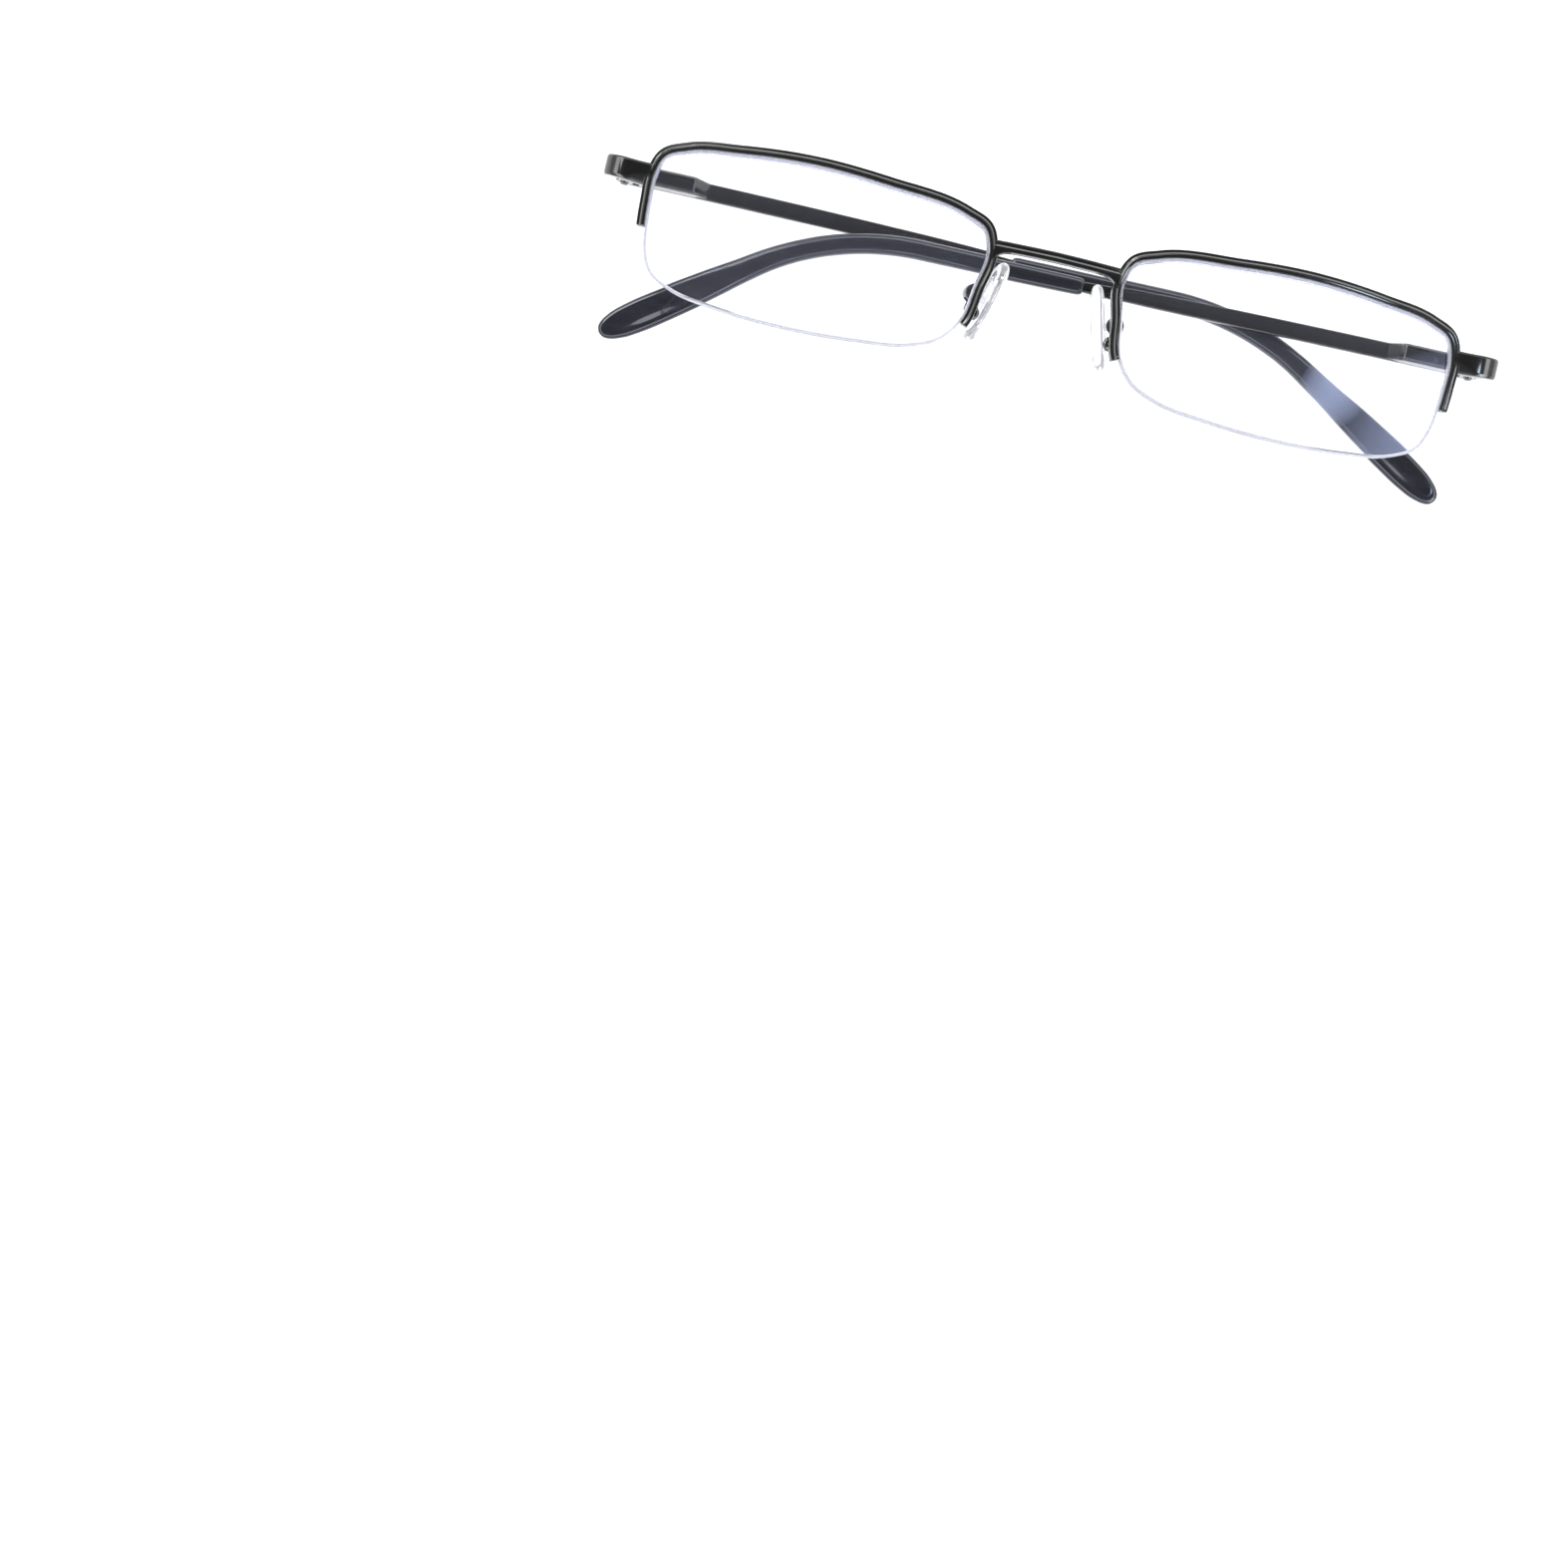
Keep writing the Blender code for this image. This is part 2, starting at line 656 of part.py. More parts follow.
def make_tip(side_name, side, axis):
    """Plastic tip over the core wire, round at first and a flat oval at its end."""
    name = side_name + "_temple_tip"
    core = 2 * CORE_CLEARANCE
    bend = BEND_ANGLE[side_name]
    curved = bend_lengths(6, bend)
    inner = [(CORE_END + 0.4, 1.3 + core, 0.9 + core)]
    inner += [(length, 1.3 + core, 0.9 + core) for length in reversed(curved)]
    inner.append((SLEEVE_START + 1.1, 1.3 + core, 0.9 + core))
    inner.append((SLEEVE_START, 1.62 + core, 1.12 + core))
    outer = [(SLEEVE_START, 2.3, 1.75), (SLEEVE_START + 0.8, 2.6, 2.0), (70.0, 2.8, 2.05)]
    outer += [(length, 2.9, 2.65) for length in curved]
    outer += [
        (109.5, 3.55, 2.6), (114.5, 4.2, 2.5), (120.0, 4.7, 2.4), (125.5, 4.9, 2.3),
        (129.0, 4.55, 2.1), (131.3, 3.55, 1.8), (132.6, 2.1, 1.2), (133.0, 0.9, 0.6),
    ]
    rings = [temple_ring(s, scaled_hole(h, t), bend) for s, h, t in inner]
    rings += [temple_ring(s, oval(h, t), bend) for s, h, t in outer]
    add_object(loft(name, rings), name, axis, side, "black_plastic")


def scaled_hole(height, thickness, count=12):
    """A rectangular hole with as many points as the oval around it."""
    points = []
    for a, b in oval(2.0, 2.0, count):
        reach = max(abs(a), abs(b))
        points.append((a / reach * height / 2.0, b / reach * thickness / 2.0))
    return points


# ---------------------------------------------------------------- nose pads

def make_pad(side_name, side, pivot):
    """Silicone pad with a recess in its back for the core."""
    name = side_name + "_nose_pad"
    shift = -PIVOT_OFFSET
    rings = []
    for depth, scale in ((-1.0, 0.72), (-0.55, 0.95), (0.1, 1.0), (0.7, 0.97), (1.0, 0.86)):
        ring = []
        for i in range(20):
            angle = 2 * pi * i / 20
            c, s = cos(angle), sin(angle)
            up = PAD_LENGTH / 2.0 * scale * abs(c) ** 0.85 * (1 if c > 0 else -1)
            front = PAD_WIDTH / 2.0 * scale * abs(s) ** 0.85 * (1 if s > 0 else -1)
            ring.append((shift + depth * PAD_THICKNESS / 2.0, up, front))
        rings.append(ring)
    pad = add_object(loft(name, rings), name, pivot, side, "silicone")
    back = shift + PAD_THICKNESS / 2.0
    recess = box_mesh(name + "_recess", (back - 0.75, -3.6, -1.5), (back + 0.5, 3.6, 1.5))
    cutter = add_object(recess, recess.name, pivot, side, None, cutter=True)
    combine(pad, cutter, "DIFFERENCE")


def make_pad_core(side_name, side, pivot):
    """Insert plate that stiffens the pad, with the post that the screw goes through."""
    name = side_name + "_pad_core"
    back = -PIVOT_OFFSET + PAD_THICKNESS / 2.0
    plate = box_mesh(name, (back - 0.65, -3.5, -1.4), (back - 0.1, 3.5, 1.4), 0.1)
    core = add_object(plate, name, pivot, side, "nylon")
    post = box_mesh(name + "_post", (back - 0.4, -0.55, -0.62), (0.5, 0.55, 0.62), 0.15)
    knuckle = cylinder_mesh(name + "_knuckle", 0.75, 0.61, (0, 0, 0), "Z", 16)
    hole = cylinder_mesh(name + "_hole", PAD_HOLE_RADIUS, 2.0, (0, 0, 0), "Z", 12)
    steps = ((post, "UNION"), (knuckle, "UNION"), (hole, "DIFFERENCE"))
    for mesh, operation in steps:
        cutter = add_object(mesh, mesh.name, pivot, side, None, cutter=True)
        combine(core, cutter, operation)


def make_pad_box(side_name, side, pivot):
    """Round cage that holds the pad's post between two cheeks."""
    name = side_name + "_pad_box"
    body = cylinder_mesh(name, BOX_RADIUS, BOX_HALF_LENGTH, (0, 0, 0), "Z", 24)
    box = add_object(body, name, pivot, side, "steel")
    slot = box_mesh(name + "_slot", (-2.0, -2.0, -BOX_SLOT_HALF), (0.85, 2.0, BOX_SLOT_HALF))
    hole = cylinder_mesh(name + "_hole", PAD_HOLE_RADIUS, 2.0, (0, 0, 0), "Z", 12)
    for mesh in (slot, hole):
        cutter = add_object(mesh, mesh.name, pivot, side, None, cutter=True)
        combine(box, cutter, "DIFFERENCE")


def make_pad_screw(side_name, side, pivot):
    """Small screw that the pad rocks on."""
    name = side_name + "_pad_screw"
    top = BOX_HALF_LENGTH + 0.06
    profile = (
        (0.0, top + 0.3), (0.55, top + 0.3), (0.7, top + 0.15), (0.7, top),
        (PAD_SCREW_RADIUS, top), (PAD_SCREW_RADIUS, -1.25), (0.0, -1.25),
    )
    add_object(turned_mesh(name, profile, (0, 0, 0), "Z", 12), name, pivot, side, "steel")


def make_pad_arm(side_name, side, front):
    """Bent wire from the back of the rim to the pad's cage."""
    points = even_points(smooth_line(ARM_ROUTE, 6), 22)
    tube_object(side_name + "_pad_arm", points, ARM_RADIUS, front, side, "black_metal")


# ---------------------------------------------------------------- assembly

def make_side(side_name, side, front):
    """Everything on one side of the bridge."""
    plane = empty(
        side_name + "_lens_plane", (side * LENS_X, 0, LENS_Z), turn(side * WRAP, "Y"), front,
    )
    make_lens(side_name, side, plane)
    make_rim(side_name, side, plane)
    make_endpiece(side_name, side, front)
    make_front_hinge(side_name, side, front)
    make_hinge_screw(side_name, side, front)
    lean = turn(RISE[side_name], "Z") @ turn(LEAN[side_name], "Y")
    axis = empty(
        side_name + "_hinge_axis", (side * HINGE_X, HINGE_Y, HINGE_Z), lean, front,
    )
    make_piston(side_name, side, axis)
    make_spring(side_name, side, axis)
    make_housing(side_name, side, axis)
    make_temple(side_name, side, axis)
    make_tip(side_name, side, axis)
    facing = turn(side * PAD_TILT, "Z") @ turn(side * PAD_SPLAY, "Y")
    away = facing @ Vector((side * PIVOT_OFFSET, 0, 0))
    place = Vector((side * PAD_PLACE[0], PAD_PLACE[1], PAD_PLACE[2])) + away
    pivot = empty(side_name + "_pad_pivot", place, facing, front)
    make_pad(side_name, side, pivot)
    make_pad_core(side_name, side, pivot)
    make_pad_box(side_name, side, pivot)
    make_pad_screw(side_name, side, pivot)
    make_pad_arm(side_name, side, front)


def main():
    """Build the glasses from nothing."""
    clear_scene()
    front = empty("front_plane", (0, LENS_Y, FRONT_Z), Matrix.Identity(4))
    make_bridge(front)
    for side_name, side in SIDES.items():
        make_side(side_name, side, front)


main()
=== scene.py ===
"""Looks of the half-rim reading glasses: fine pieces, materials, floor, light and camera.

Pieces are shaped in millimetres for the wearer's left side, in the frame of the lens, the
hinge or the nose pad that they belong to, and are mirrored for the right side.
"""
import json
from math import cos, pi, radians, sin, tan

import bmesh
import bpy
import numpy as np
from mathutils import Matrix, Vector


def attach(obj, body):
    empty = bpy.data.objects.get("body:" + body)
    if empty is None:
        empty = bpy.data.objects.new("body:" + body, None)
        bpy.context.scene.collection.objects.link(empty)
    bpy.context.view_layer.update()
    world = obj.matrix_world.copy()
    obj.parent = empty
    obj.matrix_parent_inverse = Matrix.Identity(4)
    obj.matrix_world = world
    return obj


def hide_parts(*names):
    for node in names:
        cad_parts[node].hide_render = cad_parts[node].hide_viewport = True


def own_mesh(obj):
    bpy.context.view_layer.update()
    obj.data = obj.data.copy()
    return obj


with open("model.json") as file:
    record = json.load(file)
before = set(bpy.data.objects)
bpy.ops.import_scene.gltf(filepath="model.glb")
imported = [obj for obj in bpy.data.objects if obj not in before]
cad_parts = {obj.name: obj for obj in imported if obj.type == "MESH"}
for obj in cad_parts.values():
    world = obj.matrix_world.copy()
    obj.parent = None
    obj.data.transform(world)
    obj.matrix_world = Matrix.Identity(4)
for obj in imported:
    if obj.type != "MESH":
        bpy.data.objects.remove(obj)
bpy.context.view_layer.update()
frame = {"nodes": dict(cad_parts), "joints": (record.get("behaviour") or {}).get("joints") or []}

MM = 0.001
SIDES = {"left": 1, "right": -1}
JOINTS = {joint["name"]: joint for joint in frame["joints"]}

# Hinge axis in the front's own frame, whose origin is on the bridge between the lenses.
HINGE = Vector((63.9, 6.8, -11.2))
FRONT = Matrix.Translation(Vector(JOINTS["left_temple_fold"]["pos_m"]) - HINGE * MM)

# Lens blank and edge.
LENS_X = 34.9
LENS_Z = 0.5
WRAP = radians(4.0)
FRONT_RADIUS = 140.0
BACK_RADIUS = 300.0
LENS_MIDDLE = 2.9
GROOVE_BACK = 0.85
GROOVE_HALF = 0.3
GROOVE_DEPTH = 0.42
FRONT_BEVEL = 0.28
BACK_BEVEL = 0.5
OUTLINE_STEPS = 12

# Lens outline: the rim covers the first stretch and the nylon cord the second.
RIM_OUTLINE = (
    (-23.0, -5.4), (-24.1, 0.0), (-24.85, 5.6), (-23.7, 8.5), (-20.6, 9.85), (-9.0, 11.3),
    (2.0, 11.9), (13.0, 11.3), (20.6, 10.3), (23.7, 8.9), (24.75, 5.8), (24.7, 2.2),
    (24.45, -1.5),
)
CORD_OUTLINE = (
    (23.9, -5.0), (22.4, -8.0), (19.0, -9.9), (12.0, -11.25), (2.0, -11.9), (-9.0, -11.45),
    (-16.4, -10.4), (-20.6, -8.5),
)

# Temple, measured along its middle line from the hinge axis.
BAR_OFFSET = -2.4
SLEEVE_START = 58.5
BEND_START = 83.5
BEND_RADIUS = 40.0
BEND_ANGLE = {"left": radians(35.0), "right": radians(31.0)}
TIP_END = 133.0

# The floor, in metres below the origin, clears the tips of the opened temples.
FLOOR_DEPTH = 0.135
FLOOR_HALF_SIZE = 3.0

# Light: the brightness of the ring overhead, a soft window that the wearer's left lens
# reflects, and two lamps of (place, size, power in watts, colour).
RING_STRENGTH = 3.4
WINDOW_DIRECTION = Vector((0.41, 0.13, 0.903)).normalized()
WINDOW_INNER = radians(0.2)
WINDOW_OUTER = radians(4.8)
WINDOW_STRENGTH = 12.0
WINDOW_COLOUR = (0.72, 0.84, 1.0, 1.0)
LAMPS = {
    "key": ((-0.5, 0.5, 0.5), 0.6, 3.5, (1.0, 0.985, 0.965)),
    "fill": ((0.7, -0.35, 0.45), 0.5, 2.0, (0.9, 0.93, 1.0)),
}

# Camera: almost straight above, rolled, with a long lens.
CAMERA_PLACE = Vector((-0.0328, -0.0767, 0.4502))
CAMERA_AIM = Vector((-0.0213, -0.0734, 0.0))
CAMERA_ROLL = radians(12.8)
CAMERA_LENS = 69.45


# ---------------------------------------------------------------- curves and sections

def heading(before, here, after):
    """Direction of a smooth line at a point, weighted towards its nearer neighbour."""
    back = np.linalg.norm(here - before)
    ahead = np.linalg.norm(after - here)
    if back == 0.0 or ahead == 0.0:
        return (after - before) / np.linalg.norm(after - before)
    return ((here - before) / back * ahead + (after - here) / ahead * back) / (back + ahead)


def smooth_line(points, steps, closed=False):
    """Points along a smooth curve that passes through every given point."""
    points = np.array(points, float)
    count = len(points)
    line = []
    for i in range(count if closed else count - 1):
        if closed:
            before, start, end, after = (points[(i + k) % count] for k in (-1, 0, 1, 2))
        else:
            near = [min(max(i + k, 0), count - 1) for k in (-1, 0, 1, 2)]
            before, start, end, after = (points[k] for k in near)
        span = np.linalg.norm(end - start)
        leaving = heading(before, start, end) * span
        arriving = heading(start, end, after) * span
        for t in np.arange(steps) / steps:
            line.append(
                start * (2 * t ** 3 - 3 * t ** 2 + 1) + leaving * (t ** 3 - 2 * t ** 2 + t)
                + end * (3 * t ** 2 - 2 * t ** 3) + arriving * (t ** 3 - t ** 2)
            )
    if not closed:
        line.append(points[-1])
    return np.array(line)


def glide(stations, at):
    """Values at some positions of a curve through rows of (position, values), with no overshoot."""
    table = np.array(stations, float)
    at = np.array(at, float)
    place, values = table[:, 0], table[:, 1:]
    step = np.diff(place)[:, None]
    rate = np.diff(values, axis=0) / step
    slope = np.zeros_like(values)
    slope[0], slope[-1] = rate[0], rate[-1]
    same_way = rate[:-1] * rate[1:] > 0
    total = np.where(same_way, rate[:-1] + rate[1:], 1.0)
    slope[1:-1] = np.where(same_way, 2 * rate[:-1] * rate[1:] / total, 0.0)
    i = np.clip(np.searchsorted(place, at, side="right") - 1, 0, len(place) - 2)
    width = step[i]
    t = ((at - place[i]) / width[:, 0])[:, None]
    return (
        values[i] * (2 * t ** 3 - 3 * t ** 2 + 1) + slope[i] * width * (t ** 3 - 2 * t ** 2 + t)
        + values[i + 1] * (3 * t ** 2 - 2 * t ** 3) + slope[i + 1] * width * (t ** 3 - t ** 2)
    )


def rounded(corners, steps=4):
    """Closed outline with each corner (x, y, radius) rounded off."""
    points = []
    for i, (x, y, radius) in enumerate(corners):
        here = Vector((x, y))
        back = (Vector(corners[i - 1][:2]) - here).normalized()
        ahead = (Vector(corners[(i + 1) % len(corners)][:2]) - here).normalized()
        half = back.angle(ahead) / 2.0
        centre = here + (back + ahead).normalized() * (radius / sin(half))
        arm = here + back * (radius / tan(half)) - centre
        swing = pi - 2.0 * half
        if back.x * ahead.y - back.y * ahead.x > 0:
            swing = -swing
        for k in range(steps + 1):
            turned = Matrix.Rotation(swing * k / steps, 2) @ arm
            points.append(tuple(centre + turned))
    return np.array(points)


def box_section(height, thickness, radius, steps=4):
    """Rounded rectangle as (height, thickness) pairs."""
    a, b = height / 2.0, thickness / 2.0
    r = min(radius, a * 0.95, b * 0.95)
    return rounded(((-a, -b, r), (a, -b, r), (a, b, r), (-a, b, r)), steps)


def oval_section(height, thickness, power=0.8, count=48, dish=0.0):
    """Rounded section whose inner face can be dished."""
    angle = 2 * pi * (np.arange(count) + 0.5) / count
    c, s = np.cos(angle), np.sin(angle)
    a = height / 2.0 * np.abs(c) ** power * np.sign(c)
    b = thickness / 2.0 * np.abs(s) ** power * np.sign(s)
    hollow = dish * np.clip(1.0 - (a / (height * 0.36)) ** 2, 0.0, 1.0) ** 1.5
    return np.stack((a, np.where(s > 0, b - hollow, b)), axis=1)


# ---------------------------------------------------------------- meshes and pieces

def lofted(rings, centres=False):
    """Vertices and faces of a skin over rings, with both ends closed."""
    rings = np.array(rings, float)
    rows, count, _ = rings.shape
    verts = rings.reshape(-1, 3)
    faces = []
    for i in range(rows - 1):
        for j in range(count):
            k = (j + 1) % count
            faces.append((i * count + j, i * count + k, (i + 1) * count + k, (i + 1) * count + j))
    last = (rows - 1) * count
    if not centres:
        faces.append(tuple(reversed(range(count))))
        faces.append(tuple(last + j for j in range(count)))
        return verts, faces
    verts = np.vstack((verts, rings[0].mean(0), rings[-1].mean(0)))
    first_middle, last_middle = len(verts) - 2, len(verts) - 1
    for j in range(count):
        k = (j + 1) % count
        faces.append((k, j, first_middle))
        faces.append((last + j, last + k, last_middle))
    return verts, faces


# Rings of a wire's rounded end, as shares of its radius: (ring radius, distance beyond the end).
END_ROUND = tuple((sin(t * pi / 8), 0.6 * cos(t * pi / 8)) for t in range(1, 4))


def tube_rings(points, radius, sides=14):
    """Rings of a round wire along a line, with rounded ends."""
    points = np.array(points, float)
    along = np.gradient(points, axis=0)
    along /= np.linalg.norm(along, axis=1)[:, None]
    across = np.cross(along[0], (0.0, 0.0, 1.0))
    if np.linalg.norm(across) < 0.1:
        across = np.cross(along[0], (0.0, 1.0, 0.0))
    angle = 2 * pi * np.arange(sides) / sides
    rings = []
    for i, (point, ahead) in enumerate(zip(points, along)):
        across = across - ahead * across.dot(ahead)
        across /= np.linalg.norm(across)
        side = np.cross(ahead, across)
        circle = np.cos(angle)[:, None] * across + np.sin(angle)[:, None] * side
        if i == 0:
            rings += [point + circle * radius * f - ahead * radius * b for f, b in END_ROUND]
        rings.append(point + circle * radius)
        if i == len(points) - 1:
            ends = reversed(END_ROUND)
            rings += [point + circle * radius * f + ahead * radius * b for f, b in ends]
    return rings


def add_piece(name, shape, matrix, side, body, finish, sharp=40.0, split=None):
    """Make an object from a left-side shape that stands for the CAD node of the same name."""
    verts, faces = shape
    verts = np.array(verts, float) * MM
    verts[:, 0] *= side
    mesh = bpy.data.meshes.new(name + "_finished")
    mesh.from_pydata(verts.tolist(), [], faces)
    mesh.transform(matrix)
    bm = bmesh.new()
    bm.from_mesh(mesh)
    bmesh.ops.remove_doubles(bm, verts=bm.verts, dist=1e-8)
    bmesh.ops.recalc_face_normals(bm, faces=bm.faces)
    bm.to_mesh(mesh)
    bm.free()
    mesh.shade_smooth()
    mesh.set_sharp_from_angle(angle=radians(sharp))
    for material in finish:
        mesh.materials.append(material)
    if split is not None:
        mesh.polygons.foreach_set("material_index", split)
    obj = bpy.data.objects.new(name + "_finished", mesh)
    bpy.context.scene.collection.objects.link(obj)
    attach(obj, body)
    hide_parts(name)
    return obj


def axes_matrix(x, y, z, place):
    """Matrix of a frame with these axes, at a place in metres."""
    matrix = Matrix((x, y, z)).transposed().to_4x4()
    matrix.translation = place
    return matrix


def lens_frame(side):
    """Frame of one lens, turned back a little at its outer end."""
    place = Matrix.Translation(Vector((side * LENS_X, 0.0, LENS_Z)) * MM)
    return FRONT @ place @ Matrix.Rotation(side * WRAP, 4, "Y")


def hinge_frame(side_name, side):
    """Frame of one temple: X from the tip to the hinge on the left side."""
    x = Vector(JOINTS[side_name + "_spring_travel"]["axis"]) * -side
    y = Vector((0.0, 0.0, 1.0)).cross(x).normalized()
    return axes_matrix(x, y, x.cross(y), JOINTS[side_name + "_temple_fold"]["pos_m"])


def pad_frame(side_name):
    """Frame of one nose pad's pivot: X away from the nose, Y up, Z to the front."""
    joint = JOINTS[side_name + "_pad_rock"]
    z = Vector(joint["axis"])
    y = Vector((0.0, 0.0, 1.0)).cross(z).normalized()
    if y.y < 0.0:
        y.negate()
    return axes_matrix(y.cross(z), y, z, joint["pos_m"])


# ---------------------------------------------------------------- materials

def new_material(name):
    """An empty node material, with its nodes, its links and its output."""
    material = bpy.data.materials.new(name)
    material.use_nodes = True
    nodes, links = material.node_tree.nodes, material.node_tree.links
    nodes.clear()
    output = nodes.new("ShaderNodeOutputMaterial")
    return material, nodes, links, output


def add_node(nodes, kind, **values):
    """A node with some of its inputs set by name."""
    node = nodes.new(kind)
    for name, value in values.items():
        node.inputs[name.replace("_", " ")].default_value = value
    return node


def mapped(nodes, links, source, low, high, input_low=0.3, input_high=0.7):
    """A value spread from one range to another."""
    node = nodes.new("ShaderNodeMapRange")
    node.inputs["From Min"].default_value = input_low
    node.inputs["From Max"].default_value = input_high
    node.inputs["To Min"].default_value = low
    node.inputs["To Max"].default_value = high
    links.new(source, node.inputs["Value"])
    return node.outputs["Result"]


def plated_metal(name, dark, light, rough, coat):
    """Plated metal: a faint cloudiness, fine polishing marks, and edges painted paler as a
    highlight.
    """
    material, nodes, links, output = new_material(name)
    shader = add_node(nodes, "ShaderNodeBsdfPrincipled", Metallic=1.0, Coat_Weight=coat)
    shader.inputs["Coat Roughness"].default_value = 0.06
    place = nodes.new("ShaderNodeTexCoord").outputs["Object"]
    cloud = add_node(nodes, "ShaderNodeTexNoise", Scale=380.0, Detail=4.0, Roughness=0.55)
    marks = add_node(nodes, "ShaderNodeTexNoise", Scale=5200.0, Detail=3.0, Roughness=0.6)
    links.new(place, cloud.inputs["Vector"])
    links.new(place, marks.inputs["Vector"])
    # Painted highlight: sharp edges, found by pointiness, take the paler plating tone in place of
    # the bright lines that light draws along them.
    edges = mapped(nodes, links, nodes.new("ShaderNodeNewGeometry").outputs["Pointiness"],
                   0.0, 1.0, 0.5, 0.62)
    tone = nodes.new("ShaderNodeMix")
    tone.data_type = "RGBA"
    tone.inputs["A"].default_value = (*dark, 1.0)
    tone.inputs["B"].default_value = (*light, 1.0)
    amount = nodes.new("ShaderNodeMath")
    amount.operation = "MULTIPLY_ADD"
    links.new(cloud.outputs["Fac"], amount.inputs[0])
    amount.inputs[1].default_value = 0.35
    links.new(edges, amount.inputs[2])
    links.new(amount.outputs[0], tone.inputs["Factor"])
    links.new(tone.outputs["Result"], shader.inputs["Base Color"])
    links.new(mapped(nodes, links, cloud.outputs["Fac"], rough * 0.8, rough * 1.25),
              shader.inputs["Roughness"])
    bump = add_node(nodes, "ShaderNodeBump", Strength=0.05, Distance=0.00003)
    links.new(marks.outputs["Fac"], bump.inputs["Height"])
    links.new(bump.outputs["Normal"], shader.inputs["Normal"])
    links.new(shader.outputs["BSDF"], output.inputs["Surface"])
    return material


def tip_plastic():
    """Polished black plastic with faint drawn lines and a cool sheen."""
    material, nodes, links, output = new_material("tip_plastic")
    shader = add_node(nodes, "ShaderNodeBsdfPrincipled", Coat_Weight=0.6)
    shader.inputs["Coat Roughness"].default_value = 0.04
    shader.inputs["Specular Tint"].default_value = (0.78, 0.84, 1.0, 1.0)
    place = nodes.new("ShaderNodeTexCoord").outputs["Object"]
    stretch = nodes.new("ShaderNodeMapping")
    stretch.inputs["Scale"].default_value = (60.0, 900.0, 900.0)
    links.new(place, stretch.inputs["Vector"])
    drawn = add_node(nodes, "ShaderNodeTexNoise", Scale=1.0, Detail=3.0, Roughness=0.5)
    links.new(stretch.outputs["Vector"], drawn.inputs["Vector"])
    tone = nodes.new("ShaderNodeMix")
    tone.data_type = "RGBA"
    tone.inputs["A"].default_value = (0.006, 0.006, 0.008, 1.0)
    tone.inputs["B"].default_value = (0.022, 0.023, 0.03, 1.0)
    links.new(drawn.outputs["Fac"], tone.inputs["Factor"])
    links.new(tone.outputs["Result"], shader.inputs["Base Color"])
    links.new(mapped(nodes, links, drawn.outputs["Fac"], 0.09, 0.2), shader.inputs["Roughness"])
    bump = add_node(nodes, "ShaderNodeBump", Strength=0.12, Distance=0.00004)
    links.new(drawn.outputs["Fac"], bump.inputs["Height"])
    links.new(bump.outputs["Normal"], shader.inputs["Normal"])
    links.new(shader.outputs["BSDF"], output.inputs["Surface"])
    return material


def clear_material(name, tint, ior, rough, haze, reflection, grain, cloud=(0.86, 0.87, 0.9)):
    """Clear plastic: refraction, a tinted reflection, a little haze, and light let through."""
    material, nodes, links, output = new_material(name)
    refraction = add_node(nodes, "ShaderNodeBsdfRefraction", Roughness=rough, IOR=ior)
    refraction.inputs["Color"].default_value = (*tint, 1.0)
    gloss = nodes.new("ShaderNodeBsdfAnisotropic")
    gloss.inputs["Color"].default_value = (*reflection, 1.0)
    gloss.inputs["Roughness"].default_value = rough
    fresnel = add_node(nodes, "ShaderNodeFresnel", IOR=ior)
    surface = nodes.new("ShaderNodeMixShader")
    links.new(fresnel.outputs["Fac"], surface.inputs["Fac"])
    links.new(refraction.outputs["BSDF"], surface.inputs[1])
    links.new(gloss.outputs["BSDF"], surface.inputs[2])
    cloudy = add_node(nodes, "ShaderNodeBsdfDiffuse")
    cloudy.inputs["Color"].default_value = (*cloud, 1.0)
    place = nodes.new("ShaderNodeTexCoord").outputs["Object"]
    noise = add_node(nodes, "ShaderNodeTexNoise", Scale=grain, Detail=3.0)
    links.new(place, noise.inputs["Vector"])
    amount = mapped(nodes, links, noise.outputs["Fac"], haze * 0.6, haze * 1.4)
    hazy = nodes.new("ShaderNodeMixShader")
    links.new(amount, hazy.inputs["Fac"])
    links.new(surface.outputs["Shader"], hazy.inputs[1])
    links.new(cloudy.outputs["BSDF"], hazy.inputs[2])
    through = nodes.new("ShaderNodeBsdfTransparent")
    through.inputs["Color"].default_value = (*(c ** 0.5 for c in tint), 1.0)
    shadow = nodes.new("ShaderNodeMixShader")
    links.new(nodes.new("ShaderNodeLightPath").outputs["Is Shadow Ray"], shadow.inputs["Fac"])
    links.new(hazy.outputs["Shader"], shadow.inputs[1])
    links.new(through.outputs["BSDF"], shadow.inputs[2])
    links.new(shadow.outputs["Shader"], output.inputs["Surface"])
    return material


def floor_material():
    """Pale matt floor with a very faint unevenness."""
    material, nodes, links, output = new_material("floor")
    shader = add_node(nodes, "ShaderNodeBsdfPrincipled", Roughness=0.55)
    place = nodes.new("ShaderNodeTexCoord").outputs["Object"]
    noise = add_node(nodes, "ShaderNodeTexNoise", Scale=30.0, Detail=2.0)
    links.new(place, noise.inputs["Vector"])
    tone = nodes.new("ShaderNodeMix")
    tone.data_type = "RGBA"
    tone.inputs["A"].default_value = (0.87, 0.87, 0.885, 1.0)
    tone.inputs["B"].default_value = (0.89, 0.89, 0.9, 1.0)
    links.new(noise.outputs["Fac"], tone.inputs["Factor"])
    links.new(tone.outputs["Result"], shader.inputs["Base Color"])
    links.new(shader.outputs["BSDF"], output.inputs["Surface"])
    return material


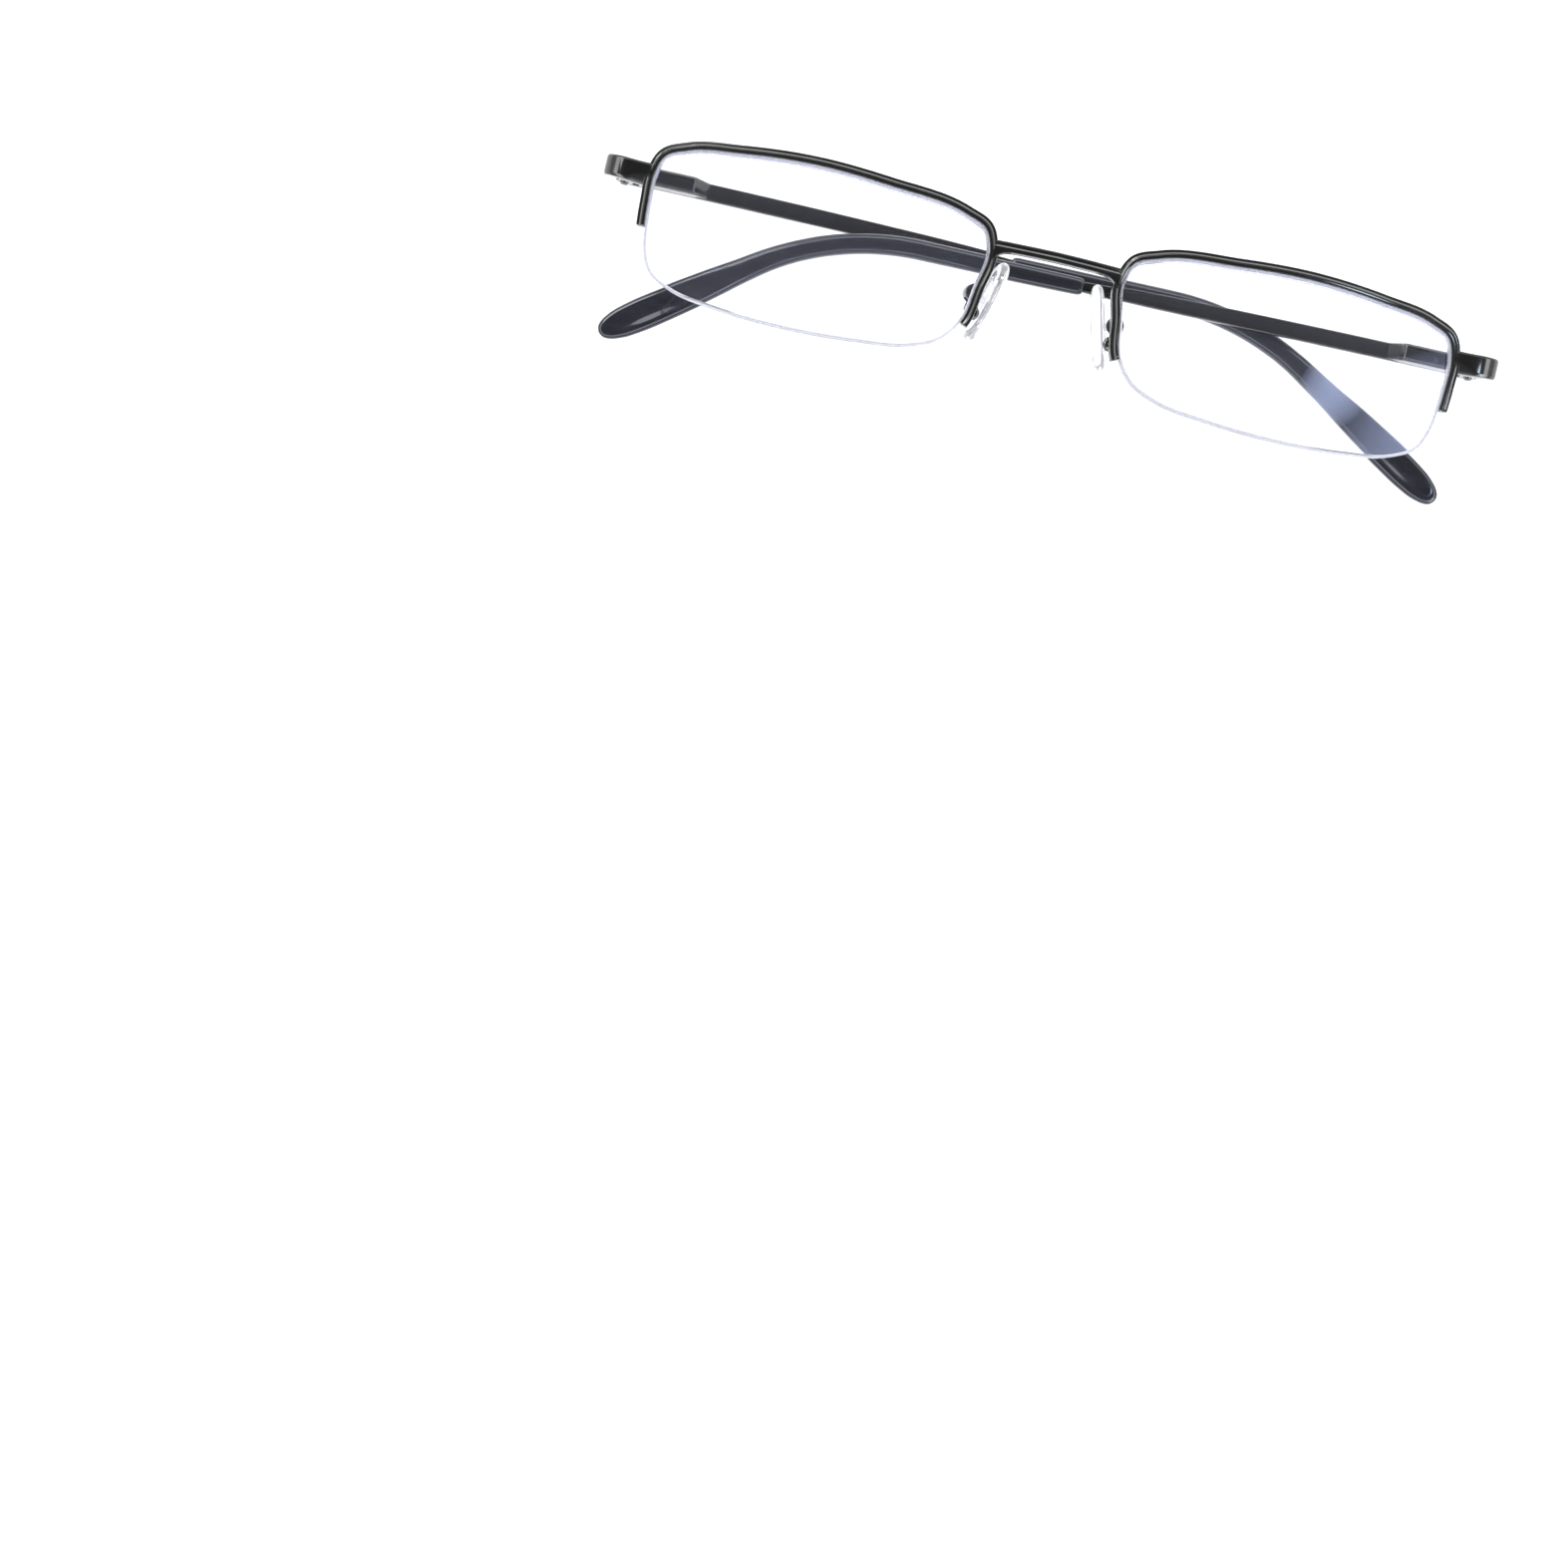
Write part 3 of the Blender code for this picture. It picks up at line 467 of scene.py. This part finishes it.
METAL = plated_metal("black_plating", (0.06, 0.06, 0.059), (0.17, 0.17, 0.167), 0.1, 0.1)
STEEL = plated_metal("dark_nickel", (0.12, 0.12, 0.12), (0.3, 0.3, 0.3), 0.25, 0.1)
PLASTIC = tip_plastic()
CLEAR = clear_material("lens_clear", (0.985, 0.985, 0.99), 1.5, 0.0, 0.004, (0.74, 0.76, 1.0), 40.0)
FROST = clear_material("lens_edge", (0.74, 0.74, 0.755), 1.45, 0.2, 0.25, (1.0, 1.0, 1.0), 4000.0)
NYLON = clear_material("clear_nylon", (0.9, 0.9, 0.92), 1.5, 0.05, 0.12, (1.0, 1.0, 1.0), 900.0)
CORE = clear_material("pad_core_clear", (0.9, 0.9, 0.91), 1.35, 0.02, 0.05, (1.0, 1.0, 1.0), 700.0,
                      (0.97, 0.97, 0.98))
SILICONE = clear_material("silicone", (0.88, 0.88, 0.89), 1.42, 0.02, 0.08, (1.0, 1.0, 1.0), 500.0,
                          (0.97, 0.97, 0.98))
FLOOR = floor_material()


# ---------------------------------------------------------------- lens, rim and cord

def sag(radius, u, v):
    """How far a sphere of this radius has fallen back at (u, v) from its middle."""
    return radius - np.sqrt(radius * radius - u * u - v * v)


OUTLINE = smooth_line(RIM_OUTLINE + CORD_OUTLINE, OUTLINE_STEPS, closed=True)
TANGENT = np.roll(OUTLINE, -1, axis=0) - np.roll(OUTLINE, 1, axis=0)
OUTWARD = np.stack((-TANGENT[:, 1], TANGENT[:, 0]), axis=1)
OUTWARD /= np.linalg.norm(OUTWARD, axis=1)[:, None]
FACE_HEIGHT = -sag(FRONT_RADIUS, OUTLINE[:, 0], OUTLINE[:, 1])
GROOVE_HEIGHT = FACE_HEIGHT - GROOVE_BACK
RIM_LAST = OUTLINE_STEPS * (len(RIM_OUTLINE) - 1)


def make_lens(side_name, side):
    """Meniscus lens with ground bevels and a groove around its edge."""

    def surface(scale, inset, radius, middle):
        """A ring of one face."""
        flat = (OUTLINE - OUTWARD * inset) * scale
        height = middle - sag(radius, flat[:, 0], flat[:, 1])
        return np.column_stack((flat, height))

    def edge(inset, height):
        """A ring of the edge."""
        return np.column_stack((OUTLINE - OUTWARD * inset, height))

    scales = np.linspace(0.06, 1.0, 14)
    rings = [surface(s, FRONT_BEVEL, FRONT_RADIUS, 0.0) for s in scales]
    face_rings = len(rings)
    rings.append(edge(0.0, FACE_HEIGHT - 0.22))
    groove = [(0.0, GROOVE_HALF)]
    for t in range(7):
        turn = pi * t / 6
        groove.append((GROOVE_DEPTH * (0.35 + 0.65 * sin(turn)), GROOVE_HALF * 0.95 * cos(turn)))
    groove.append((0.0, -GROOVE_HALF))
    rings += [edge(inset, GROOVE_HEIGHT + offset) for inset, offset in groove]
    back = -LENS_MIDDLE - sag(BACK_RADIUS, OUTLINE[:, 0], OUTLINE[:, 1])
    rings.append(edge(0.0, back + 0.3))
    edge_rings = len(rings) - face_rings
    rings += [surface(s, BACK_BEVEL, BACK_RADIUS, -LENS_MIDDLE) for s in scales[::-1]]
    count = len(OUTLINE)
    bands = [0] * (face_rings - 1) + [1] * (edge_rings + 1) + [0] * (len(scales) - 1)
    split = [band for band in bands for _ in range(count)] + [0] * (2 * count)
    add_piece(
        side_name + "_lens", lofted(rings, centres=True), lens_frame(side), side, "front_frame",
        (CLEAR, FROST), sharp=25.0, split=split,
    )


def swept(indices, profile):
    """Rings of a profile of (outward, forward) points carried along the lens edge."""
    rings = []
    for i in indices:
        flat = OUTLINE[i] + OUTWARD[i] * profile[:, :1]
        rings.append(np.column_stack((flat, GROOVE_HEIGHT[i] + profile[:, 1])))
    return rings


def make_rim(side_name, side):
    """Half rim: a wire with a groove along its front and a channel on its inner side."""
    corners = (
        (0.07, -0.9, 0.12), (1.0, -0.9, 0.2), (1.22, -0.68, 0.2), (1.25, 0.87, 0.07),
        (0.84, 0.89, 0.03), (0.66, 0.76, 0.03), (0.5, 0.89, 0.03), (0.07, 0.88, 0.07),
        (0.07, 0.26, 0.03),
        (0.46, 0.26, 0.03), (0.46, -0.26, 0.03), (0.07, -0.26, 0.03),
    )
    profile = rounded(corners, 3)
    middle = np.array((0.66, 0.0))
    rings = swept(range(RIM_LAST + 1), profile)
    eased = [swept([end], middle + (profile - middle) * f)[0] for end in (0, RIM_LAST)
             for f in (0.9, 0.97)]
    start_along = np.array((*(OUTLINE[0] - OUTLINE[1]), 0.0))
    end_along = np.array((*(OUTLINE[RIM_LAST] - OUTLINE[RIM_LAST - 1]), 0.0))
    start_along /= np.linalg.norm(start_along)
    end_along /= np.linalg.norm(end_along)
    rings = [eased[0] + start_along * 0.07, eased[1] + start_along * 0.04] + rings
    rings += [eased[3] + end_along * 0.04, eased[2] + end_along * 0.07]
    add_piece(
        side_name + "_rim", lofted(rings), lens_frame(side), side, "front_frame",
        (METAL,), sharp=50.0,
    )
    strip = rounded(((-0.3, -0.18, 0.05), (0.38, -0.18, 0.05), (0.38, 0.18, 0.05),
                     (-0.3, 0.18, 0.05)), 2)
    rings = swept(range(OUTLINE_STEPS // 2, RIM_LAST - OUTLINE_STEPS // 2), strip)
    add_piece(
        side_name + "_rim_liner", lofted(rings), lens_frame(side), side, "front_frame",
        (NYLON,), sharp=50.0,
    )


def make_cord(side_name, side):
    """Nylon cord in the lens's groove, with both ends tucked into the rim."""
    count = len(OUTLINE)
    spare = OUTLINE_STEPS // 2
    indices = [i % count for i in range(RIM_LAST - spare, count + spare // 2)]
    route = [ring[0] for ring in swept(indices, np.array(((-0.16, 0.0),)))]
    add_piece(
        side_name + "_nylon_cord", lofted(tube_rings(route, 0.21)), lens_frame(side), side,
        "front_frame", (NYLON,), sharp=60.0,
    )


# ---------------------------------------------------------------- bridge, endpiece and arm

def make_bridge():
    """Bridge bar with a groove along its front, whose lower edge runs out to the rims."""
    end, back, back_radius = 9.3, -0.75, 0.2
    front = (
        # distance below the top edge, forward, radius
        (0.0, 0.74, 0.06), (0.18, 0.83, 0.03), (0.5, 0.84, 0.01), (0.56, 0.68, 0.01),
        (0.88, 0.84, 0.03), (1.42, 0.8, 0.08),
    )
    rings = []
    for x in end * np.sin(np.linspace(-pi / 2, pi / 2, 81)):
        part = abs(x) / end
        flare = 1.6 * part ** 10
        top = 7.4 - 0.1 * part
        middle_z = -0.2 - 0.6 * part * part
        outline = [(top, back, back_radius)]
        outline += [(top - down, forward, radius) for down, forward, radius in front]
        down, forward, radius = front[-1]
        outline[-1] = (top - down - flare, forward, radius)
        outline.append((top - down - flare, back, back_radius))
        section = rounded(outline, 3)
        rings.append([(x, u, middle_z + w) for u, w in section])
    add_piece("bridge", lofted(rings), FRONT, 1, "front_frame", (METAL,), 50.0)


def make_endpiece(side_name, side):
    """Polished lug with a facet that twists from its upper to its lower edge."""
    stations = (
        # order, x, z, heading, height, thickness, middle height, upper cut, lower cut
        (0.0, 60.0, -4.35, 0.0, 3.2, 1.9, 5.85, 0.3, 1.7),
        (1.0, 62.1, -4.37, -1.0, 3.15, 1.95, 5.9, 0.3, 1.1),
        (2.0, 63.5, -4.45, -5.0, 3.15, 2.0, 5.98, 0.3, 0.5),
        (3.0, 64.95, -5.0, -42.0, 3.1, 2.1, 6.15, 0.3, 0.4),
        (4.0, 65.75, -6.3, -76.0, 3.05, 2.1, 6.4, 0.3, 0.4),
        (5.0, 65.95, -8.2, -90.0, 3.0, 2.1, 6.6, 0.3, 0.4),
        (6.0, 65.95, -9.95, -90.0, 2.9, 2.1, 6.75, 0.3, 0.4),
    )
    rings = []
    order = np.linspace(0.0, 6.0, 49)
    for x, z, heading_now, height, thick, middle, upper, lower in glide(stations, order):
        across = np.array((-sin(radians(heading_now)), 0.0, cos(radians(heading_now))))
        a, b = height / 2.0, thick / 2.0
        section = rounded((
            (-a, -b, 0.3), (a, -b, 0.3), (a, b - upper * 0.6, 0.14), (a - upper, b, 0.14),
            (-a + lower, b, 0.1), (-a, b - lower * 0.45, 0.1),
        ), 4)
        rings.append([(x + across[0] * w, middle + u, z + across[2] * w) for u, w in section])
    last = np.array(rings[-1])
    centre = last.mean(0)
    for shrink, drop in ((0.97, 0.09), (0.88, 0.17), (0.78, 0.2)):
        ring = centre + (last - centre) * shrink
        rings.append(ring + np.array((0.0, 0.0, -drop)))
    add_piece(
        side_name + "_endpiece", lofted(rings), FRONT, side, "front_frame",
        (METAL,), 42.0,
    )


def make_pad_arm(side_name, side):
    """Bent wire from the back of the rim to the pad's cage."""
    route = (
        (10.6, -3.9, -1.85), (10.55, -3.92, -2.25), (10.1, -4.0, -2.55), (9.6, -3.35, -2.75),
        (10.0, -2.5, -3.0), (10.8, -2.3, -3.7), (11.3, -2.6, -4.6), (11.35, -2.4, -5.4),
        (11.17, -1.6, -5.76),
    )
    rings = tube_rings(smooth_line(route, 8), 0.4, 18)
    add_piece(
        side_name + "_pad_arm", lofted(rings), FRONT, side, "front_frame",
        (METAL,), 60.0,
    )


# ---------------------------------------------------------------- temple

def temple_place(length, bend):
    """Distance, height and downward slope of the temple's middle line after a length."""
    if length <= BEND_START:
        return length, 0.0, 0.0
    turned = min((length - BEND_START) / BEND_RADIUS, bend)
    along = BEND_START + BEND_RADIUS * sin(turned)
    down = BEND_RADIUS * (1.0 - cos(turned))
    rest = max(length - BEND_START - BEND_RADIUS * bend, 0.0)
    return along + rest * cos(turned), -(down + rest * sin(turned)), turned


def temple_ring(length, section, bend):
    """A section of (height, thickness) points stood across the temple's middle line."""
    along, height, slope = temple_place(length, bend)
    return np.column_stack((
        -(along + section[:, 0] * sin(slope)), height + section[:, 0] * cos(slope),
        BAR_OFFSET + section[:, 1],
    ))


def make_temple(side_name, side, matrix):
    """Flat bar that thins to the core wire inside the tip."""
    stations = (
        (-0.9, 2.45, 1.15), (16.0, 2.45, 1.15), (44.0, 2.25, 1.15), (53.0, 1.95, 1.1),
        (SLEEVE_START - 0.2, 1.55, 1.05), (SLEEVE_START + 1.0, 1.3, 0.9), (126.0, 1.3, 0.9),
    )
    bend = BEND_ANGLE[side_name]
    lengths = np.concatenate((
        np.linspace(-0.76, SLEEVE_START - 0.4, 60), np.linspace(SLEEVE_START - 0.2, 83.0, 12),
        np.linspace(BEND_START, 108.5, 20), np.linspace(110.0, 125.9, 6),
    ))
    rings = [
        temple_ring(-0.9, box_section(2.2, 0.9, 0.2), bend),
        temple_ring(-0.86, box_section(2.36, 1.07, 0.2), bend),
    ]
    rings += [
        temple_ring(s, box_section(h, t, 0.22), bend)
        for s, (h, t) in zip(lengths, glide(stations, lengths))
    ]
    add_piece(
        side_name + "_temple", lofted(rings), matrix, side, side_name + "_temple_arm",
        (METAL,), 50.0,
    )


def make_housing(side_name, side, matrix):
    """Spring box with a crowned top and a sloped step at its far end."""
    bottom = BAR_OFFSET + 0.575 + 0.02
    stations = (
        # distance, half height, top
        (2.0, 1.1, 1.1), (2.2, 1.25, 1.25), (10.4, 1.25, 1.25), (10.75, 1.24, 1.08),
        (11.0, 1.22, 0.72), (12.8, 1.12, bottom + 0.42),
    )
    distances = np.concatenate((
        (2.0, 2.05, 2.12, 2.2), np.linspace(2.4, 10.3, 12), np.linspace(10.4, 12.8, 22),
    ))
    rings = []
    for distance, (half, top) in zip(distances, glide(stations, distances)):
        middle, b = (top + bottom) / 2.0, (top - bottom) / 2.0
        crown = min(0.16, b * 0.4)
        section = rounded((
            (-half, -b, 0.06), (half, -b, 0.06), (half, b - 0.35 * b - crown * 0.5, 0.12),
            (half * 0.72, b - crown * 0.5, 0.12), (half * 0.2, b, 0.08), (-half * 0.2, b, 0.08),
            (-half * 0.72, b - crown * 0.5, 0.12), (-half, b - 0.35 * b - crown * 0.5, 0.12),
        ), 3)
        rings.append([(-distance, a, middle + w) for a, w in section])
    add_piece(
        side_name + "_spring_housing", lofted(rings), matrix, side, side_name + "_temple_arm",
        (METAL,), 42.0,
    )


def make_tip(side_name, side, matrix):
    """Plastic tip: an oval sleeve that widens to a dished paddle."""
    stations = (
        (SLEEVE_START, 2.1, 1.6, 0.0), (SLEEVE_START + 0.25, 2.4, 1.9, 0.0),
        (SLEEVE_START + 0.9, 2.6, 2.0, 0.0), (70.0, 2.8, 2.05, 0.0),
        (BEND_START, 2.9, 2.62, 0.0), (101.0, 3.05, 2.65, 0.0), (109.5, 3.55, 2.6, 0.0),
        (114.5, 4.2, 2.5, 0.16), (120.0, 4.7, 2.4, 0.46), (125.5, 4.9, 2.3, 0.58),
        (129.0, 4.55, 2.1, 0.42), (131.3, 3.55, 1.8, 0.12), (132.4, 2.4, 1.3, 0.0),
        (132.85, 1.35, 0.85, 0.0), (TIP_END, 0.3, 0.2, 0.0),
    )
    lengths = np.concatenate((
        SLEEVE_START + np.array((0.0, 0.08, 0.16, 0.25, 0.4, 0.6, 0.9)),
        np.linspace(SLEEVE_START + 1.5, BEND_START - 0.5, 20), np.linspace(BEND_START, 108.0, 32),
        np.linspace(108.6, TIP_END - 4.4, 44),
        TIP_END - 4.0 * np.cos(np.linspace(0.05, pi / 2, 22)) ** 1.6,
    ))
    bend = BEND_ANGLE[side_name]
    outer = [
        temple_ring(s, oval_section(h, t, dish=d), bend)
        for s, (h, t, d) in zip(lengths, glide(stations, lengths))
    ]
    hole = oval_section(1.85, 1.35, 0.6)
    inner = [temple_ring(SLEEVE_START + depth, hole, bend) for depth in (0.9, 0.05)]
    lip = temple_ring(SLEEVE_START, oval_section(2.0, 1.5), bend)
    add_piece(
        side_name + "_temple_tip", lofted(inner + [lip] + outer), matrix, side,
        side_name + "_temple_arm", (PLASTIC,), 48.0,
    )


def make_spring(side_name, side, matrix):
    """Coil spring around the hinge's rod, built at one length with a mesh of its own."""
    turns, per_turn = 7, 24
    start, end, wire = 3.17, 8.43, 0.12
    points = []
    for i in range(turns * per_turn + 1):
        angle = 2 * pi * i / per_turn
        along = start + (end - start) * i / (turns * per_turn)
        points.append((-along, 0.72 * sin(angle), 0.72 * cos(angle)))
    spring = add_piece(
        side_name + "_hinge_spring", lofted(tube_rings(points, wire, 8)), matrix, side,
        side_name + "_temple_arm", (STEEL,), 60.0,
    )
    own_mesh(spring)


# ---------------------------------------------------------------- nose pad

def make_pad(side_name, side):
    """Clear silicone pad, rounded like a pebble, with a recess in its back."""
    length, width, thick, shift = 12.6, 6.6, 1.9, -2.6
    recess_half_up, recess_half_front, recess_depth = 3.6, 1.5, 0.66
    rows = (
        # depth, scale
        (-1.0, 0.2), (-1.0, 0.5), (-0.99, 0.66), (-0.94, 0.76), (-0.84, 0.85), (-0.68, 0.92),
        (-0.45, 0.97), (-0.15, 0.995), (0.15, 1.0), (0.45, 0.985), (0.7, 0.955), (0.88, 0.91),
        (0.97, 0.86), (1.0, 0.8),
    )
    angle = 2 * pi * np.arange(72) / 72
    c, s = np.cos(angle), np.sin(angle)

    def ring(depth, half_up, half_front, power):
        """A ring of the pad at a depth."""
        up = half_up * np.abs(c) ** power * np.sign(c)
        front = half_front * np.abs(s) ** power * np.sign(s)
        return np.column_stack((np.full(len(c), shift + depth), up, front))

    rings = [ring(d * thick / 2, length / 2 * f, width / 2 * f, 0.85) for d, f in rows]
    back = thick / 2
    floor = back - recess_depth
    for depth, grow in ((back, 0.1), (back - 0.06, 0.02), (floor + 0.06, 0.0), (floor, -0.1)):
        rings.append(ring(depth, recess_half_up + grow, recess_half_front + grow, 0.45))
    rings.append(ring(floor, recess_half_up / 2, recess_half_front / 2, 0.45))
    add_piece(
        side_name + "_nose_pad", lofted(rings), pad_frame(side_name), side,
        side_name + "_pad_unit", (SILICONE,), 45.0,
    )


# ---------------------------------------------------------------- kept CAD pieces

KEPT_PIECES = {
    "front_hinge": METAL, "pad_box": METAL, "hinge_screw": STEEL, "hinge_piston": STEEL,
    "pad_screw": STEEL, "pad_core": CORE,
}
KEPT_BEVEL = 0.05
WELD_DISTANCE = 0.000001


def finish_cad_node(name, material):
    """Give a CAD node its material and softly broken edges."""
    obj = frame["nodes"][name]
    obj.data.materials.clear()
    obj.data.materials.append(material)
    obj.data.shade_smooth()
    weld = obj.modifiers.new("weld", "WELD")
    weld.merge_threshold = WELD_DISTANCE
    bevel = obj.modifiers.new("edges", "BEVEL")
    bevel.width = KEPT_BEVEL * MM
    bevel.segments = 2
    bevel.limit_method = "ANGLE"
    bevel.angle_limit = radians(40.0)
    bevel.harden_normals = True


# ---------------------------------------------------------------- stage

def make_floor():
    """Large plain floor, low enough for temples that are opened downwards."""
    bm = bmesh.new()
    bmesh.ops.create_grid(bm, x_segments=1, y_segments=1, size=FLOOR_HALF_SIZE)
    mesh = bpy.data.meshes.new("floor")
    bm.to_mesh(mesh)
    bm.free()
    mesh.materials.append(FLOOR)
    floor = bpy.data.objects.new("floor", mesh)
    bpy.context.scene.collection.objects.link(floor)
    floor.location.z = -FLOOR_DEPTH


def add_light(name, place, size, power, colour):
    """Soft square light that faces the origin."""
    light = bpy.data.lights.new(name, "AREA")
    light.shape = "SQUARE"
    light.size = size
    light.energy = power
    light.color = colour
    obj = bpy.data.objects.new(name, light)
    bpy.context.scene.collection.objects.link(obj)
    obj.location = place
    obj.rotation_mode = "QUATERNION"
    obj.rotation_quaternion = (-Vector(place)).to_track_quat("-Z", "Y")


def make_light():
    """Studio: a dark ceiling inside a bright ring, a soft window and two soft lamps."""
    world = bpy.data.worlds.new("studio")
    bpy.context.scene.world = world
    world.use_nodes = True
    nodes, links = world.node_tree.nodes, world.node_tree.links
    nodes.clear()
    output = nodes.new("ShaderNodeOutputWorld")
    place = nodes.new("ShaderNodeTexCoord").outputs["Generated"]
    split = nodes.new("ShaderNodeSeparateXYZ")
    links.new(place, split.inputs["Vector"])
    ramp = nodes.new("ShaderNodeValToRGB")
    stops = (
        # cosine of the angle from straight up, brightness
        (0.0, 0.2), (0.4, 0.25), (0.5, 0.9), (0.66, 1.0), (0.73, 0.1), (1.0, 0.05),
    )
    ramp.color_ramp.elements.remove(ramp.color_ramp.elements[1])
    for i, (position, value) in enumerate(stops):
        stop = ramp.color_ramp.elements[0] if i == 0 else ramp.color_ramp.elements.new(position)
        stop.position = position
        stop.color = (value * 0.97, value * 0.98, value, 1.0)
    links.new(split.outputs["Z"], ramp.inputs["Fac"])
    surroundings = add_node(nodes, "ShaderNodeBackground", Strength=RING_STRENGTH)
    links.new(ramp.outputs["Color"], surroundings.inputs["Color"])
    aim = nodes.new("ShaderNodeVectorMath")
    aim.operation = "DOT_PRODUCT"
    links.new(place, aim.inputs[0])
    aim.inputs[1].default_value = WINDOW_DIRECTION
    glow = mapped(nodes, links, aim.outputs["Value"], 0.0, WINDOW_STRENGTH, cos(WINDOW_OUTER),
                  cos(WINDOW_INNER))
    window = nodes.new("ShaderNodeBackground")
    window.inputs["Color"].default_value = WINDOW_COLOUR
    links.new(glow, window.inputs["Strength"])
    both = nodes.new("ShaderNodeAddShader")
    links.new(surroundings.outputs["Background"], both.inputs[0])
    links.new(window.outputs["Background"], both.inputs[1])
    links.new(both.outputs["Shader"], output.inputs["Surface"])
    for name, lamp in LAMPS.items():
        add_light(name, *lamp)


def make_camera():
    """Camera above the glasses, looking down."""
    back = (CAMERA_PLACE - CAMERA_AIM).normalized()
    level = Vector((0.0, 1.0, 0.0)).cross(back).normalized()
    lift = back.cross(level)
    right = level * cos(CAMERA_ROLL) + lift * sin(CAMERA_ROLL)
    data = bpy.data.cameras.new("camera")
    data.sensor_width = 36.0
    data.lens = CAMERA_LENS
    data.clip_start = 0.01
    camera = bpy.data.objects.new("camera", data)
    bpy.context.scene.collection.objects.link(camera)
    camera.matrix_world = axes_matrix(right, back.cross(right), back, CAMERA_PLACE)
    bpy.context.scene.camera = camera


def main():
    """Make every piece and the stage."""
    make_camera()
    make_bridge()
    for side_name, side in SIDES.items():
        make_lens(side_name, side)
        make_rim(side_name, side)
        make_cord(side_name, side)
        make_endpiece(side_name, side)
        make_pad_arm(side_name, side)
        make_pad(side_name, side)
        matrix = hinge_frame(side_name, side)
        make_temple(side_name, side, matrix)
        make_housing(side_name, side, matrix)
        make_tip(side_name, side, matrix)
        make_spring(side_name, side, matrix)
        for name, material in KEPT_PIECES.items():
            finish_cad_node(side_name + "_" + name, material)
    make_floor()
    make_light()
    bpy.context.scene.view_settings.view_transform = "Standard"


main()
